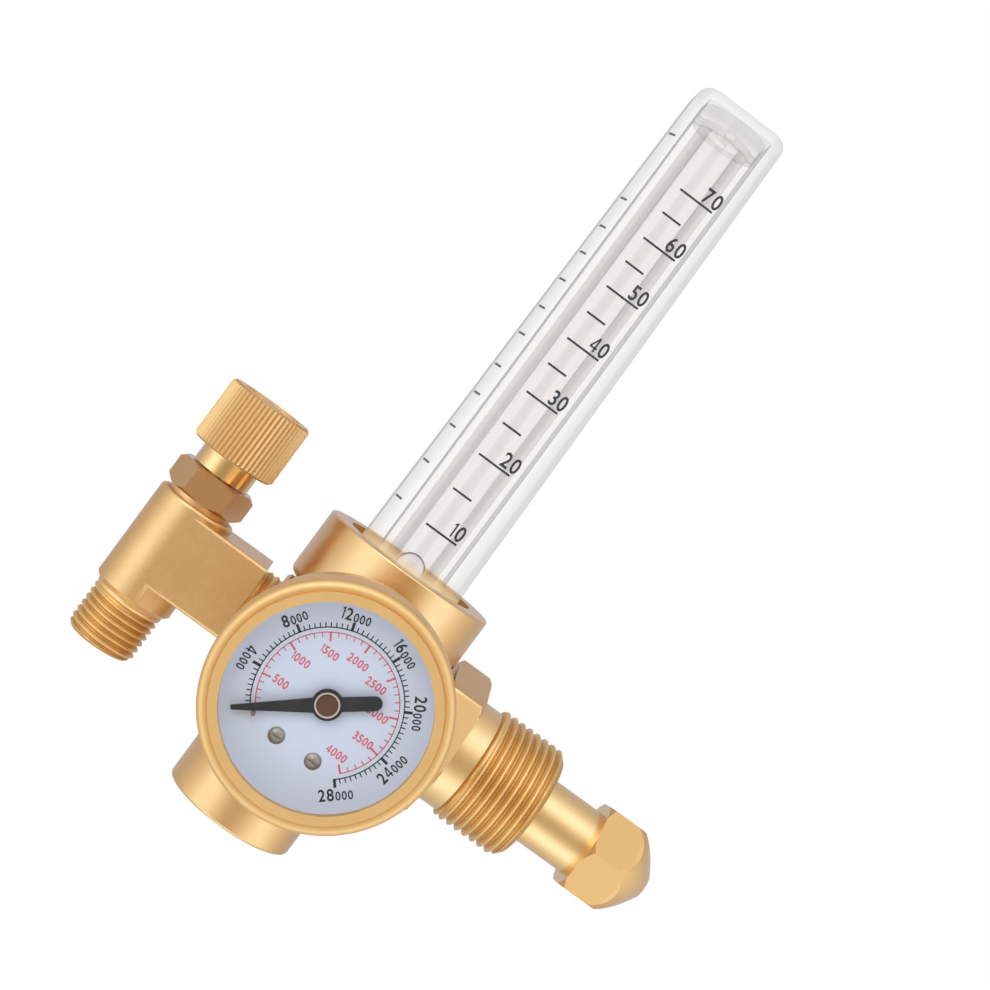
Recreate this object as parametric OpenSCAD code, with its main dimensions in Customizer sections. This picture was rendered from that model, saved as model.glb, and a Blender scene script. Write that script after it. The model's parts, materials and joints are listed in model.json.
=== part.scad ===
// Argon flowmeter regulator: fixed pressure piston regulator with a cylinder pressure
// gauge, a clear flow tube and a needle valve. Lengths are in millimetres.
// The origin is the middle of the bottom cap's flat face, +Z runs up the flow tube,
// +X points at the gas cylinder and the gauge faces -Y.

/* [Body] */
// Diameter of the body and of its bottom cap
body_d = 27.3; // [26:0.1:32]
// Height of the inlet, gauge and valve axes above the bottom face
axis_z = 35; // [33.5:0.1:37]
// Gap between the side bosses and the tube nut above them
head_clear = 0.2; // [0.1:0.05:3]
// Diameter of the side boss that takes the needle valve
valve_boss_d = 18.6; // [17:0.1:21]
// Distance from the body axis to the end of the needle valve's boss
valve_boss_reach = 17.9; // [16.5:0.1:20]
// Diameter of the boss that takes the inlet nipple
inlet_boss_d = 19.6; // [18:0.1:21]
// Distance from the body axis to the end of the inlet boss
inlet_boss_reach = 18.5; // [17:0.1:18.8]
// Diameter of the front boss that takes the gauge
gauge_boss_d = 18; // [15:0.1:19]
// Distance from the body axis to the end of the gauge boss
gauge_boss_reach = 18; // [16:0.1:20]
// Radius of the high pressure chamber
chamber_r = 3; // [2.4:0.1:3.4]
// Radius of the drilled gas passages
passage_r = 1.1; // [0.8:0.05:1.3]

/* [Bottom cap and piston] */
// Height of the bottom cap up to its seam with the body
cap_h = 16; // [15:0.1:16.6]
// Thickness of the cap's floor
cap_floor = 4.4; // [3:0.1:5]
// Radius of the cap's rounded bottom edge
cap_edge_r = 0.6; // [0.4:0.1:2]
// Height of the cap's threaded spigot
spigot_h = 4.7; // [4:0.1:5]
// Width of the shoulder round the cap's threaded spigot
spigot_shoulder = 2.2; // [1.6:0.05:2.6]
// Thickness of the gasket between the spigot and the body
cap_gasket_t = 0.7; // [0.5:0.1:1]
// Wall of the cap round the piston's bore
piston_wall = 4.15; // [3.9:0.05:4.6]
// Thickness of the piston's head
piston_head_t = 5; // [4:0.1:5.5]
// Diameter of the piston's stem
piston_stem_d = 9; // [8:0.1:9.4]
// Stroke of the piston from its stop to the closed seat
piston_lift = 0.8; // [0.5:0.1:1]
// Wire diameter of the piston spring
spring_wire_d = 1.8; // [1.4:0.1:2]
// Number of turns of the piston spring
spring_turns = 4.5; // [3.5:0.5:4.5]

/* [Flow tube] */
// Wall of the tube nut round the body's head
tube_nut_wall = 2.35; // [1.6:0.05:3]
// Height of the tube nut
tube_nut_h = 14.1; // [13.5:0.1:16]
// Thickness of the tube nut's top
tube_nut_top = 3.1; // [2.5:0.1:3.5]
// Width of the clear cover where it leaves its flange
cover_w = 21.95; // [21:0.05:22.1]
// Width of the clear cover at its top
cover_top_w = 19.5; // [18.5:0.1:20.9]
// Height of the cover's top above the bottom face
cover_top_z = 165.5; // [140:0.5:190]
// Corner radius of the cover's square section
cover_corner_r = 4.4; // [4.4:0.1:5]
// Radius round the cover's top edge
cover_edge_r = 2.4; // [1.5:0.1:3]
// Reach of the cover's flange past the hole in the tube nut
flange_lip = 1.75; // [1.1:0.05:2.2]
// Thickness of the cover's flange
flange_t = 3.2; // [2.5:0.1:3.6]
// Thickness of the gasket under the cover's flange
tube_gasket_t = 1; // [0.6:0.1:1.4]
// Width of the square chamber inside the cover
cover_cavity_w = 14.4; // [13.8:0.1:15]
// Thickness of the cover's roof
cover_roof = 1.8; // [1.4:0.1:3]
// Outer diameter of the metering tube
meter_d = 11.2; // [10.4:0.1:11.6]
// Radius of the metering tube's bore at its foot
meter_bore_low_r = 3.25; // [3.2:0.05:3.4]
// Radius of the metering tube's bore at its top
meter_bore_top_r = 3.6; // [3.45:0.05:4]
// Diameter of the float ball
ball_d = 6; // [5:0.1:6.2]

/* [Inlet] */
// Diameter of the inlet nipple's stem
nipple_d = 13.9; // [13:0.1:14.6]
// Diameter of the tapered pipe threads that screw into the body
pipe_thread_d = 13.7; // [13:0.1:14]
// Length of each pipe thread
pipe_thread_l = 8; // [6.5:0.1:8.4]
// Distance from the body axis to the nipple's tip
nipple_tip_x = 73.8; // [70:0.1:80]
// Length of the nipple's nose, from its back shoulder to the tip
nose_l = 14.7; // [13:0.1:16]
// Width across the flats of the nipple's nose
nose_af = 17.8; // [16.5:0.1:18.5]
// Radius of the flat at the nipple's tip
nose_tip_r = 2.6; // [2.4:0.1:4]
// Distance from the body axis to the back of the inlet nut
nut_x = 19.1; // [18.9:0.1:20.5]
// Width across the flats of the inlet nut
nut_af = 27.3; // [26.8:0.1:30]
// Length of the inlet nut's hexagon
nut_hex_l = 7.6; // [7:0.1:10]
// Length of the plain neck in front of the hexagon
nut_neck_l = 4.8; // [3:0.1:6]
// Diameter of the plain neck
nut_neck_d = 22.4; // [21:0.1:23.4]
// Outer diameter of the inlet nut's thread
inlet_thread_d = 24.5; // [24:0.1:26]
// Length of the inlet nut's thread
inlet_thread_l = 15.1; // [12:0.1:18]
// Radius of the gas bore through the nipple
nipple_bore_r = 1.6; // [1.2:0.1:2.2]
// Radius of the inlet filter
filter_r = 3.1; // [2.6:0.1:3.6]
// Length of the inlet filter
filter_l = 6.5; // [5:0.1:8]

/* [Needle valve] */
// Distance from the body axis to the valve stem's axis
valve_x = 39.5; // [38:0.1:42]
// Distance from the body axis to the inner end of the valve's block
block_x = 21.6; // [20:0.1:23]
// Width of the valve's block from front to back
block_w = 16.2; // [15:0.1:16.3]
// Height of the valve's block below the inlet axis
block_down = 7.8; // [7.2:0.1:8.6]
// Height of the valve's block above the inlet axis
block_up = 8.3; // [7.2:0.1:9]
// Diameter of the valve's round barrel
barrel_d = 16.3; // [16.3:0.1:18]
// Height of the barrel above the inlet axis
barrel_up = 9.65; // [9.4:0.05:10.5]
// Depth of the barrel below the inlet axis
barrel_down = 12.45; // [11.5:0.05:13.5]
// Height of the chamfer at the barrel's foot
barrel_chamfer = 1.1; // [0.6:0.1:1.3]
// Outer diameter of the outlet thread
outlet_thread_d = 14.29; // [13:0.01:15]
// Length of the outlet thread
outlet_thread_l = 10.4; // [8:0.1:12]
// Radius of the outlet bore
outlet_bore_r = 3.4; // [2.8:0.1:4]
// Diameter of the collar under the bonnet nut
collar_d = 13.5; // [12.5:0.1:14]
// Width across the flats of the bonnet nut
bonnet_af = 14.46; // [13.8:0.1:15]
// Height of the bonnet nut
bonnet_h = 5.8; // [5.6:0.1:7]
// Diameter of the valve stem
stem_d = 6; // [5:0.1:6.4]
// Rise of the stem for one turn of the knob
stem_lead = 0.7; // [0.5:0.05:0.75]
// Full turns of the knob from closed to open
stem_turns = 3; // [2:0.5:3]

/* [Knob] */
// Outer diameter of the knob
knob_d = 17.7; // [16:0.1:20]
// Height of the knurled grip
knob_h = 13; // [11:0.1:16]
// Diameter of the polished hub under the grip
hub_d = 12.05; // [10.5:0.05:13]
// Height of the hub
hub_h = 3.7; // [3:0.1:5]
// Number of flutes round the grip
flutes = 56; // [40:1:64]
// Depth of a flute
flute_depth = 0.4; // [0.2:0.05:0.6]
// Diameter of the dished top face
dish_d = 12.4; // [10:0.1:14]
// Depth of the dished top face
dish_depth = 0.9; // [0.5:0.1:2]

/* [Gauge] */
// Outer diameter of the bezel
bezel_d = 43.6; // [42:0.1:48]
// Distance from the body axis to the bezel's front
gauge_front = 47; // [46.5:0.1:52]
// Depth of the gauge from the bezel's front to the case's back
gauge_depth = 23; // [22.8:0.1:23.6]
// Diameter of the opening in the bezel
window_d = 36.2; // [34:0.1:37]
// Depth of the bezel's rim
bezel_depth = 9; // [7:0.1:12]
// Thickness of the case's wall
case_wall = 1.2; // [1:0.1:1.4]
// Thickness of the gauge's lens
lens_t = 1; // [0.8:0.1:1.3]
// Width across the flats of the gauge's socket
socket_af = 14; // [12.5:0.1:15]
// Diameter of the gauge's pipe thread
gauge_thread_d = 10.3; // [9.5:0.1:11]
// Length of the gauge's pipe thread
gauge_thread_l = 8.4; // [7:0.1:9]
// Radius to the middle of the bourdon tube
bourdon_r = 14.5; // [14.2:0.1:15.2]
// Thickness of the bourdon tube's flattened section
bourdon_t = 2.4; // [2:0.1:2.6]
// Width of the bourdon tube's flattened section
bourdon_w = 6; // [5:0.1:6.2]
// Length of the pointer from its axis to its tip
pointer_l = 16.3; // [14:0.1:17]
// Length of the pointer's tail
tail_l = 8.1; // [6:0.1:9.5]
// Module of the gauge's gear teeth
gear_module = 0.2; // [0.18:0.01:0.2]
// Number of teeth on the pinion
pinion_teeth = 10; // [9:1:11]
// Number of teeth on a full circle of the sector
sector_teeth = 80; // [78:1:81]

/* [Fits] */
// Gap round a piece that slides or turns
running_gap = 0.08; // [0.02:0.01:0.1]
// Gap round a piece that is screwed or laid in place
seat_gap = 0.05; // [0.02:0.01:0.1]
// Gap left under a piece that rests on a stop
rest_gap = 0.3; // [0.2:0.05:0.5]

/* [Hidden] */
$fn = 96;

// Colours
satin_brass = [0.87, 0.67, 0.37];
pink_brass = [0.76, 0.60, 0.46];
polished_brass = [0.93, 0.78, 0.48];
steel = [0.70, 0.71, 0.72];
bronze = [0.60, 0.45, 0.30];
rubber = [0.12, 0.12, 0.12];
ptfe = [0.93, 0.93, 0.90];
clear = [0.90, 0.92, 0.94, 0.45];
dial_white = [0.80, 0.83, 0.88];
black = [0.08, 0.08, 0.09];

// Underside of the tube nut, just over the widest side boss
head_z = axis_z + max(inlet_boss_d, valve_boss_d, gauge_boss_d) / 2 + head_clear;
head_top_z = head_z + tube_nut_h - tube_nut_top - flange_t - tube_gasket_t - seat_gap;

// Bottom cap and piston stack
spigot_d = body_d - 2 * spigot_shoulder;
piston_bore_d = body_d - 2 * piston_wall;
spring_roof_step = 1.6;
cap_thread_top_z = cap_h + spigot_h;
cap_gasket_top_z = cap_thread_top_z + cap_gasket_t;
spring_roof_z = cap_gasket_top_z + spring_roof_step;
piston_bottom_z = cap_floor + rest_gap;
piston_head_top_z = piston_bottom_z + piston_head_t;
piston_stem_r = piston_stem_d / 2;
stem_bore_r = piston_stem_r + running_gap;
spring_r = (piston_bore_d + piston_stem_d) / 4 - 0.2;
nozzle_drop = 4;
nozzle_t = 1.4;
nozzle_lip_h = 0.55;
nozzle_lip_r = 1.5;
nozzle_orifice_r = 0.6;
nozzle_top_z = axis_z - nozzle_drop;
nozzle_lip_z = nozzle_top_z - nozzle_t - nozzle_lip_h;
piston_top_z = nozzle_lip_z - piston_lift - seat_gap;
piston_bore_r = 1.2;
piston_tip_drop = 2.4;
piston_tip_r = piston_stem_r - 0.8;
piston_seat_r = 2.3;
piston_seat_t = 1.6;
ring_wire_r = 0.8;
head_ring_z = piston_bottom_z + piston_head_t / 2;
stem_ring_z = spring_roof_z + 1.4;

// Passages in the body
low_passage_y = 6.3;
low_cross_z = nozzle_lip_z - 1.2;
return_passage_x = 7.6;
plenum_z = head_top_z - 4.6;
gallery_depth = 3.4;

// Flow tube stack
tube_nut_top_z = head_z + tube_nut_h;
nut_roof_z = tube_nut_top_z - tube_nut_top;
flange_top_z = nut_roof_z - seat_gap;
flange_bottom_z = flange_top_z - flange_t;
cover_reach = cover_w / 2 * sqrt(2) - cover_corner_r * (sqrt(2) - 1);
nut_hole_r = cover_reach + 2 * seat_gap;
flange_r = nut_hole_r + flange_lip;
head_r = flange_r + 0.4;
tube_nut_bore_r = head_r + seat_gap;
tube_nut_r = tube_nut_bore_r + tube_nut_wall;
cavity_top_z = cover_top_z - cover_roof;
cavity_corner_r = 1.5;
meter_r = meter_d / 2;
socket_depth = 2.6;
meter_bottom_z = head_top_z - socket_depth;
plug_h = 4.3;
plug_skirt_h = 1.7;
plug_bottom_z = cavity_top_z - plug_h - seat_gap;
plug_roof_z = plug_bottom_z + plug_skirt_h;
meter_top_z = plug_bottom_z + 0.3;
plug_r = cover_cavity_w / 2 - 0.2;
ball_r = ball_d / 2;
ball_seat_bore_r = 1.4;
ball_z = tube_nut_top_z - 0.5;
ball_seat_r = meter_bore_low_r - running_gap;
ball_seat_top_z = ball_z - sqrt(ball_r * ball_r - ball_seat_bore_r * ball_seat_bore_r) - seat_gap;
gallery_in_r = meter_r + 1;
gallery_out_r = gallery_in_r + 2;
gasket_in_r = cover_cavity_w / 2 * sqrt(2) - cavity_corner_r * (sqrt(2) - 1) + 0.1;

// Inlet
pipe_r = pipe_thread_d / 2;
nipple_r = nipple_d / 2;
nipple_back_x = inlet_boss_reach - pipe_thread_l;
nose_x = nipple_tip_x - nose_l;
nut_bearing_l = 5;
nut_bore_r = nipple_r + running_gap;
nut_relief_r = nipple_r + 0.7;
neck_x = nut_x + nut_hex_l;
inlet_thread_x = neck_x + nut_neck_l;
nut_end_x = inlet_thread_x + inlet_thread_l;
thread_chamfer = 2;
nut_turn = 43.1;
nose_turn = 21.6;

// Needle valve
barrel_r = barrel_d / 2;
barrel_top_z = axis_z + barrel_up;
barrel_foot_z = axis_z - barrel_down;
outlet_end_z = barrel_foot_z - outlet_thread_l;
collar_h = 0.95;
bonnet_z = barrel_top_z + collar_h;
bonnet_top_z = bonnet_z + bonnet_h;
bonnet_turn = 4;
bonnet_roof = 1.6;
bonnet_neck_r = 5.5;
bonnet_neck_h = bonnet_h - bonnet_roof - 0.3;
stem_r = stem_d / 2;
stem_collar_r = stem_r + 1.05;
stem_chamber_r = stem_collar_r + running_gap;
stem_chamber_z = axis_z - 2;
stem_collar_z = axis_z + 4.6;
stem_collar_h = 5;
valve_ring_z = stem_collar_z + stem_collar_h / 2;
valve_rise = stem_lead * stem_turns;
needle_r = 2.1;
needle_tip_r = 0.5;
needle_cone_z = stem_chamber_z + 1;
needle_tip_z = stem_chamber_z - 1.8;
valve_orifice_r = 1.58;
valve_orifice_l = 3;
hub_z = bonnet_top_z + rest_gap;
grip_z = hub_z + hub_h;
knob_top_z = grip_z + knob_h;
dish_z = knob_top_z - dish_depth;
stem_top_z = dish_z - 2.2;

// Gauge levels, measured forward from the body axis
bezel_r = bezel_d / 2;
case_back = gauge_front - gauge_depth;
case_r = bezel_r - 0.9;
case_floor = case_back + case_wall;
block_front = case_floor + 3.8;
plate_t = 1;
plate_space = 4.2;
back_plate_front = block_front + plate_t;
front_plate_back = back_plate_front + plate_space;
bezel_lip_t = 1.8;
lens_front = gauge_front - bezel_lip_t - seat_gap;
lens_back = lens_front - lens_t;
case_front = lens_back - seat_gap;
lens_r = case_r - 0.3;
dial_t = 0.4;
dial_back = lens_back - 3.4;
dial_front = dial_back + dial_t;
dial_r = case_r - case_wall - 0.3;
pointer_back = dial_front + 1;
pointer_t = 0.5;
arbor_r = 0.5;
arbor_front = pointer_back + pointer_t;
bourdon_mid = back_plate_front + bourdon_w / 2;
post_half = 5.5;
post_top = -7.9;
dial_screw_x = 3.8;
dial_screw_y = -9.5;
dial_screw_r = 0.8;
pillar_x = -5;
pillar_y = 4.2;
link_r = 0.8;
link_t = 0.5;
link_pin_r = 0.4;

// Gauge movement, seen from the front
pointer_rest_angle = 217.3;
pointer_sweep = 261;
stop_r = 12.6;
stop_pin_r = 0.42;
stop_angle = pointer_rest_angle + 5.2;
pinion_pitch_r = gear_module * pinion_teeth / 2;
sector_pitch_r = gear_module * sector_teeth / 2;
pivot_angle = -25;
pivot_d = pinion_pitch_r + sector_pitch_r + 0.03;
pivot_x = pivot_d * cos(pivot_angle);
pivot_y = pivot_d * sin(pivot_angle);
mesh_angle = pivot_angle + 180;
sector_swing = pointer_sweep * pinion_teeth / sector_teeth;
tail_r = 3.6;
tail_angle = -sector_swing / 2;
tail_x = pivot_x + tail_r * cos(tail_angle);
tail_y = pivot_y + tail_r * sin(tail_angle);
link_l = 6.4;
sector_back = back_plate_front + 1.4;
sector_t = 0.8;
sector_front = sector_back + sector_t;
link_back = sector_front + 0.2;
bourdon_tip_angle = 15;
hairspring_back = sector_front + 0.7;
hairspring_w = 0.6;
hairspring_r = 3.6;

// Tube of the given radii between two heights
module ring(r_out, r_in, z0, z1) {
  translate([0, 0, z0]) difference() {
    cylinder(r = r_out, h = z1 - z0);
    translate([0, 0, -1]) cylinder(r = r_in, h = z1 - z0 + 2);
  }
}

// Round bar between two heights
module bar(r, z0, z1) {
  translate([0, 0, z0]) cylinder(r = r, h = z1 - z0);
}

// Cone between two heights
module taper(r0, r1, z0, z1) {
  translate([0, 0, z0]) cylinder(r1 = r0, r2 = r1, h = z1 - z0);
}

// Hexagonal bar whose corners are turned down by cut at both ends, at a slope
module turned_hex(af, z0, z1, cut, slope) {
  corner_r = af / 2 / cos(30);
  intersection() {
    translate([0, 0, z0]) cylinder(r = corner_r, h = z1 - z0, $fn = 6);
    rotate_extrude() polygon([
      [0, z0], [corner_r - cut, z0], [corner_r, z0 + cut * slope],
      [corner_r, z1 - cut * slope], [corner_r - cut, z1], [0, z1],
    ]);
  }
}

// Rubber ring with a round section
module o_ring(mid_r, wire_r, z) {
  translate([0, 0, z]) rotate_extrude() translate([mid_r, 0]) circle(r = wire_r, $fn = 32);
}

// Square with rounded corners
module rounded_square(w, r) {
  square([w, w - 2 * r], center = true);
  square([w - 2 * r, w], center = true);
  for (sx = [-1, 1], sy = [-1, 1])
    translate([sx * (w / 2 - r), sy * (w / 2 - r)]) circle(r = r);
}

// Local z runs along +X from the body axis
module toward_inlet() {
  translate([0, 0, axis_z]) rotate([0, 90, 0]) children();
}

// Local z runs along -X from the body axis
module toward_valve() {
  translate([0, 0, axis_z]) rotate([0, -90, 0]) children();
}

// Local z runs along -Y from the body axis, and local y is up
module toward_gauge() {
  translate([0, 0, axis_z]) rotate([90, 0, 0]) children();
}

// Children stand on the needle valve's axis
module on_valve_axis() {
  translate([-valve_x, 0, 0]) children();
}

// Regulator body

// Round boss whose rim is chamfered
module boss(r, reach) {
  rim = 0.6;
  bar(r, 0, reach - rim);
  taper(r, r - rim, reach - rim, reach);
}

module body_passages() {
  bar(spigot_d / 2 + seat_gap, cap_h - 1, cap_gasket_top_z);
  bar(piston_bore_d / 2, cap_h, spring_roof_z);
  bar(stem_bore_r, spring_roof_z - 1, nozzle_top_z);
  bar(chamber_r, nozzle_top_z - 1, axis_z + chamber_r + 1);
  translate([0, low_passage_y, 0]) bar(passage_r, low_cross_z, plenum_z);
  translate([0, 0, low_cross_z]) rotate([-90, 0, 0]) bar(passage_r, 0, low_passage_y);
  translate([0, 0, plenum_z]) rotate([-90, 0, 0]) bar(passage_r, 0, low_passage_y);
  bar(ball_seat_r + seat_gap, plenum_z - passage_r, head_top_z + 1);
  bar(meter_r + seat_gap, meter_bottom_z, head_top_z + 1);
  ring(gallery_out_r, gallery_in_r, head_top_z - gallery_depth, head_top_z + 1);
  translate([-return_passage_x, 0, 0]) bar(passage_r, axis_z, head_top_z - gallery_depth + 1);
  toward_inlet() {
    bar(nipple_bore_r, 0, inlet_boss_reach);
    bar(pipe_r + seat_gap, nipple_back_x, inlet_boss_reach + 1);
  }
  toward_valve() {
    bar(passage_r, return_passage_x, valve_boss_reach);
    bar(pipe_r + seat_gap, valve_boss_reach - pipe_thread_l, valve_boss_reach + 1);
  }
  toward_gauge() {
    bar(passage_r, 0, gauge_boss_reach);
    bar(gauge_thread_d / 2 + seat_gap, gauge_boss_reach - gauge_thread_l, gauge_boss_reach + 1);
  }
}

module regulator_body() {
  color(satin_brass) difference() {
    union() {
      bar(body_d / 2, cap_h, head_z + 0.6);
      bar(head_r, head_z + 0.6, head_top_z);
      toward_inlet() boss(inlet_boss_d / 2, inlet_boss_reach);
      toward_valve() boss(valve_boss_d / 2, valve_boss_reach);
      toward_gauge() boss(gauge_boss_d / 2, gauge_boss_reach);
    }
    body_passages();
  }
}

module bottom_cap() {
  cap_r = body_d / 2;
  color(satin_brass) difference() {
    union() {
      rotate_extrude() {
        translate([0, cap_edge_r]) square([cap_r, cap_h - cap_edge_r]);
        square([cap_r - cap_edge_r, cap_h]);
        translate([cap_r - cap_edge_r, cap_edge_r]) circle(r = cap_edge_r, $fn = 32);
      }
      bar(spigot_d / 2, cap_h, cap_thread_top_z);
    }
    bar(piston_bore_d / 2 + running_gap, cap_floor, cap_thread_top_z + 1);
  }
}

module cap_gasket() {
  color(ptfe) ring(spigot_d / 2 - 0.05, piston_bore_d / 2 + 0.2, cap_thread_top_z, cap_gasket_top_z);
}

// Piston: the head slides in the cap, and the stem carries the seat up to the nozzle
module piston() {
  color(polished_brass) difference() {
    union() {
      bar(piston_bore_d / 2, piston_bottom_z, piston_head_top_z);
      bar(piston_stem_r, piston_head_top_z, piston_top_z - piston_tip_drop);
      bar(piston_tip_r, piston_top_z - piston_tip_drop, piston_top_z);
    }
    ring(piston_bore_d / 2 + 1, piston_bore_d / 2 - 1.6, head_ring_z - 0.9, head_ring_z + 0.9);
    ring(piston_stem_r + 1, piston_stem_r - 1.3, stem_ring_z - 0.8, stem_ring_z + 0.8);
    bar(piston_bore_r, piston_bottom_z - 1, piston_top_z - piston_seat_t - 0.4);
    translate([0, 0, piston_top_z - piston_tip_drop + 0.2]) rotate([0, 90, 0])
      bar(0.6, -piston_stem_d, piston_stem_d);
    bar(piston_seat_r, piston_top_z - piston_seat_t, piston_top_z + 1);
  }
}

module piston_o_ring() {
  color(rubber) o_ring(piston_bore_d / 2 - ring_wire_r + running_gap / 2, ring_wire_r, head_ring_z);
}

module piston_stem_o_ring() {
  wire_r = 0.65;
  color(rubber) o_ring(piston_stem_r - wire_r + running_gap / 2, wire_r, stem_ring_z);
}

module piston_seat() {
  color(ptfe) bar(piston_seat_r - 0.02, piston_top_z - piston_seat_t, piston_top_z);
}

// Points of a coil: the wire's section carried round the axis
function coil_points(r, wire, z0, z1, turns, steps, sides) = [
  for (i = [0 : steps]) let (a = 360 * turns * i / steps, z = z0 + (z1 - z0) * i / steps)
    for (k = [0 : sides - 1]) let (b = 360 * k / sides)
      [(r + wire * cos(b)) * cos(a), (r + wire * cos(b)) * sin(a), z + wire * sin(b)],
];
function coil_faces(steps, sides) = concat(
  [[for (k = [0 : sides - 1]) k]],
  [for (i = [0 : steps - 1], k = [0 : sides - 1])
    [i * sides + k, (i + 1) * sides + k, (i + 1) * sides + (k + 1) % sides, i * sides + (k + 1) % sides]],
  [[for (k = [sides - 1 : -1 : 0]) steps * sides + k]]
);

module piston_spring() {
  wire = spring_wire_d / 2;
  steps = round(spring_turns * 20);
  color(steel) polyhedron(
    points = coil_points(spring_r, wire, piston_head_top_z + wire + seat_gap,
      spring_roof_z - wire - seat_gap, spring_turns, steps, 8),
    faces = coil_faces(steps, 8), convexity = 6);
}

module valve_nozzle() {
  color(steel) difference() {
    union() {
      bar(stem_bore_r - seat_gap, nozzle_lip_z + nozzle_lip_h, nozzle_top_z);
      bar(nozzle_lip_r, nozzle_lip_z, nozzle_top_z);
    }
    bar(nozzle_orifice_r, nozzle_lip_z - 1, nozzle_top_z + 1);
  }
}

// Flow tube

module tube_nut() {
  r = tube_nut_r;
  low_r = 1.5;
  high_r = 0.5;
  color(satin_brass) difference() {
    rotate_extrude() {
      translate([0, head_z + low_r]) square([r, tube_nut_h - low_r - high_r]);
      translate([0, head_z]) square([r - low_r, tube_nut_h - high_r]);
      translate([0, head_z + low_r]) square([r - high_r, tube_nut_h - low_r]);
      translate([r - low_r, head_z + low_r]) circle(r = low_r, $fn = 48);
      translate([r - high_r, tube_nut_top_z - high_r]) circle(r = high_r, $fn = 32);
    }
    bar(tube_nut_bore_r, head_z - 1, nut_roof_z);
    bar(nut_hole_r, nut_roof_z - 1, tube_nut_top_z + 1);
  }
}

module tube_gasket() {
  color(rubber) ring(flange_r, gasket_in_r, head_top_z, flange_bottom_z);
}

// Clear cover: a tapered square tube with round corners on a round flange
module cover_outside() {
  foot = 1;
  corner = cover_corner_r * cover_top_w / cover_w;
  reach = cover_top_w / 2 - corner;
  hull() {
    translate([0, 0, flange_top_z - foot]) linear_extrude(foot)
      rounded_square(cover_w, cover_corner_r, $fn = 32);
    for (sx = [-1, 1], sy = [-1, 1])
      translate([sx * reach, sy * reach, cover_top_z - cover_edge_r])
        rotate_extrude($fn = 32) translate([corner - cover_edge_r, 0]) intersection() {
          circle(r = cover_edge_r, $fn = 32);
          translate([0, -cover_edge_r]) square(2 * cover_edge_r);
        }
  }
}

module flow_cover() {
  color(clear) difference() {
    union() {
      bar(flange_r, flange_bottom_z, flange_top_z);
      cover_outside();
    }
    translate([0, 0, flange_bottom_z - 1]) linear_extrude(cavity_top_z - flange_bottom_z + 1)
      rounded_square(cover_cavity_w, cavity_corner_r);
  }
}

module metering_tube() {
  color(clear) rotate_extrude() polygon([
    [meter_bore_low_r, meter_bottom_z], [meter_r, meter_bottom_z],
    [meter_r, meter_top_z], [meter_bore_top_r, meter_top_z],
  ]);
}

module metering_tube_o_ring() {
  wire_r = 0.35;
  color(rubber) o_ring(meter_r + wire_r + 0.05, wire_r, head_top_z + wire_r);
}

module ball_seat() {
  color(polished_brass) difference() {
    bar(ball_seat_r, plenum_z + passage_r, ball_seat_top_z);
    bar(ball_seat_bore_r, plenum_z - 1, ball_seat_top_z + 1);
  }
}

module float_ball() {
  color(clear) translate([0, 0, ball_z]) sphere(r = ball_r);
}

// Plug that centres the metering tube's top and stops the ball
module tube_top_plug() {
  color(clear) difference() {
    bar(plug_r, plug_bottom_z, cavity_top_z);
    bar(meter_r + seat_gap, plug_bottom_z - 1, plug_roof_z);
    translate([-plug_r - 1, -1, meter_top_z]) cube([2 * plug_r + 2, 2, plug_roof_z - meter_top_z]);
    translate([-1, -plug_r - 1, meter_top_z]) cube([2, 2 * plug_r + 2, plug_roof_z - meter_top_z]);
  }
}

// Inlet

module inlet_nipple() {
  back_chamfer = 1;
  dome_l = 8.7;
  dome_power = 1.8;
  dome_steps = 12;
  hex_r = nose_af / 2 / cos(30);
  color(pink_brass) toward_inlet() difference() {
    union() {
      bar(pipe_r, nipple_back_x, inlet_boss_reach);
      bar(nipple_r, inlet_boss_reach, nose_x);
      intersection() {
        rotate([0, 0, nose_turn]) translate([0, 0, nose_x]) cylinder(r = hex_r, h = nose_l, $fn = 6);
        rotate_extrude() polygon(concat(
          [[0, nose_x], [hex_r - back_chamfer, nose_x], [hex_r, nose_x + back_chamfer]],
          [for (i = [0 : dome_steps]) let (t = i / dome_steps)
            [hex_r - (hex_r - nose_tip_r) * pow(t, dome_power), nipple_tip_x - dome_l * (1 - t)]],
          [[0, nipple_tip_x]]));
      }
    }
    bar(nipple_bore_r, 0, nipple_tip_x + 1);
    bar(filter_r + seat_gap, nipple_back_x - 1, nipple_back_x + filter_l + 0.5);
  }
}

module inlet_filter() {
  color(bronze) toward_inlet() bar(filter_r, nipple_back_x + 0.5, nipple_back_x + filter_l + 0.5);
}

module inlet_nut() {
  thread_r = inlet_thread_d / 2;
  color(satin_brass) toward_inlet() difference() {
    union() {
      rotate([0, 0, nut_turn]) turned_hex(nut_af, nut_x, neck_x, 1.1, 0.7);
      bar(nut_neck_d / 2, neck_x, inlet_thread_x);
      bar(thread_r, inlet_thread_x, nut_end_x - thread_chamfer);
      taper(thread_r, thread_r - thread_chamfer, nut_end_x - thread_chamfer, nut_end_x);
    }
    bar(nut_bore_r, nut_x - 1, nut_end_x + 1);
    bar(nut_relief_r, nut_x + nut_bearing_l, nut_end_x + 1);
  }
}

// Needle valve

// Rectangle between two corners, with rounded corners
module rounded_rect(x0, y0, x1, y1, r) {
  translate([x0, y0 + r]) square([x1 - x0, y1 - y0 - 2 * r]);
  translate([x0 + r, y0]) square([x1 - x0 - 2 * r, y1 - y0]);
  for (x = [x0 + r, x1 - r], y = [y0 + r, y1 - r]) translate([x, y]) circle(r = r, $fn = 32);
}

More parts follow.
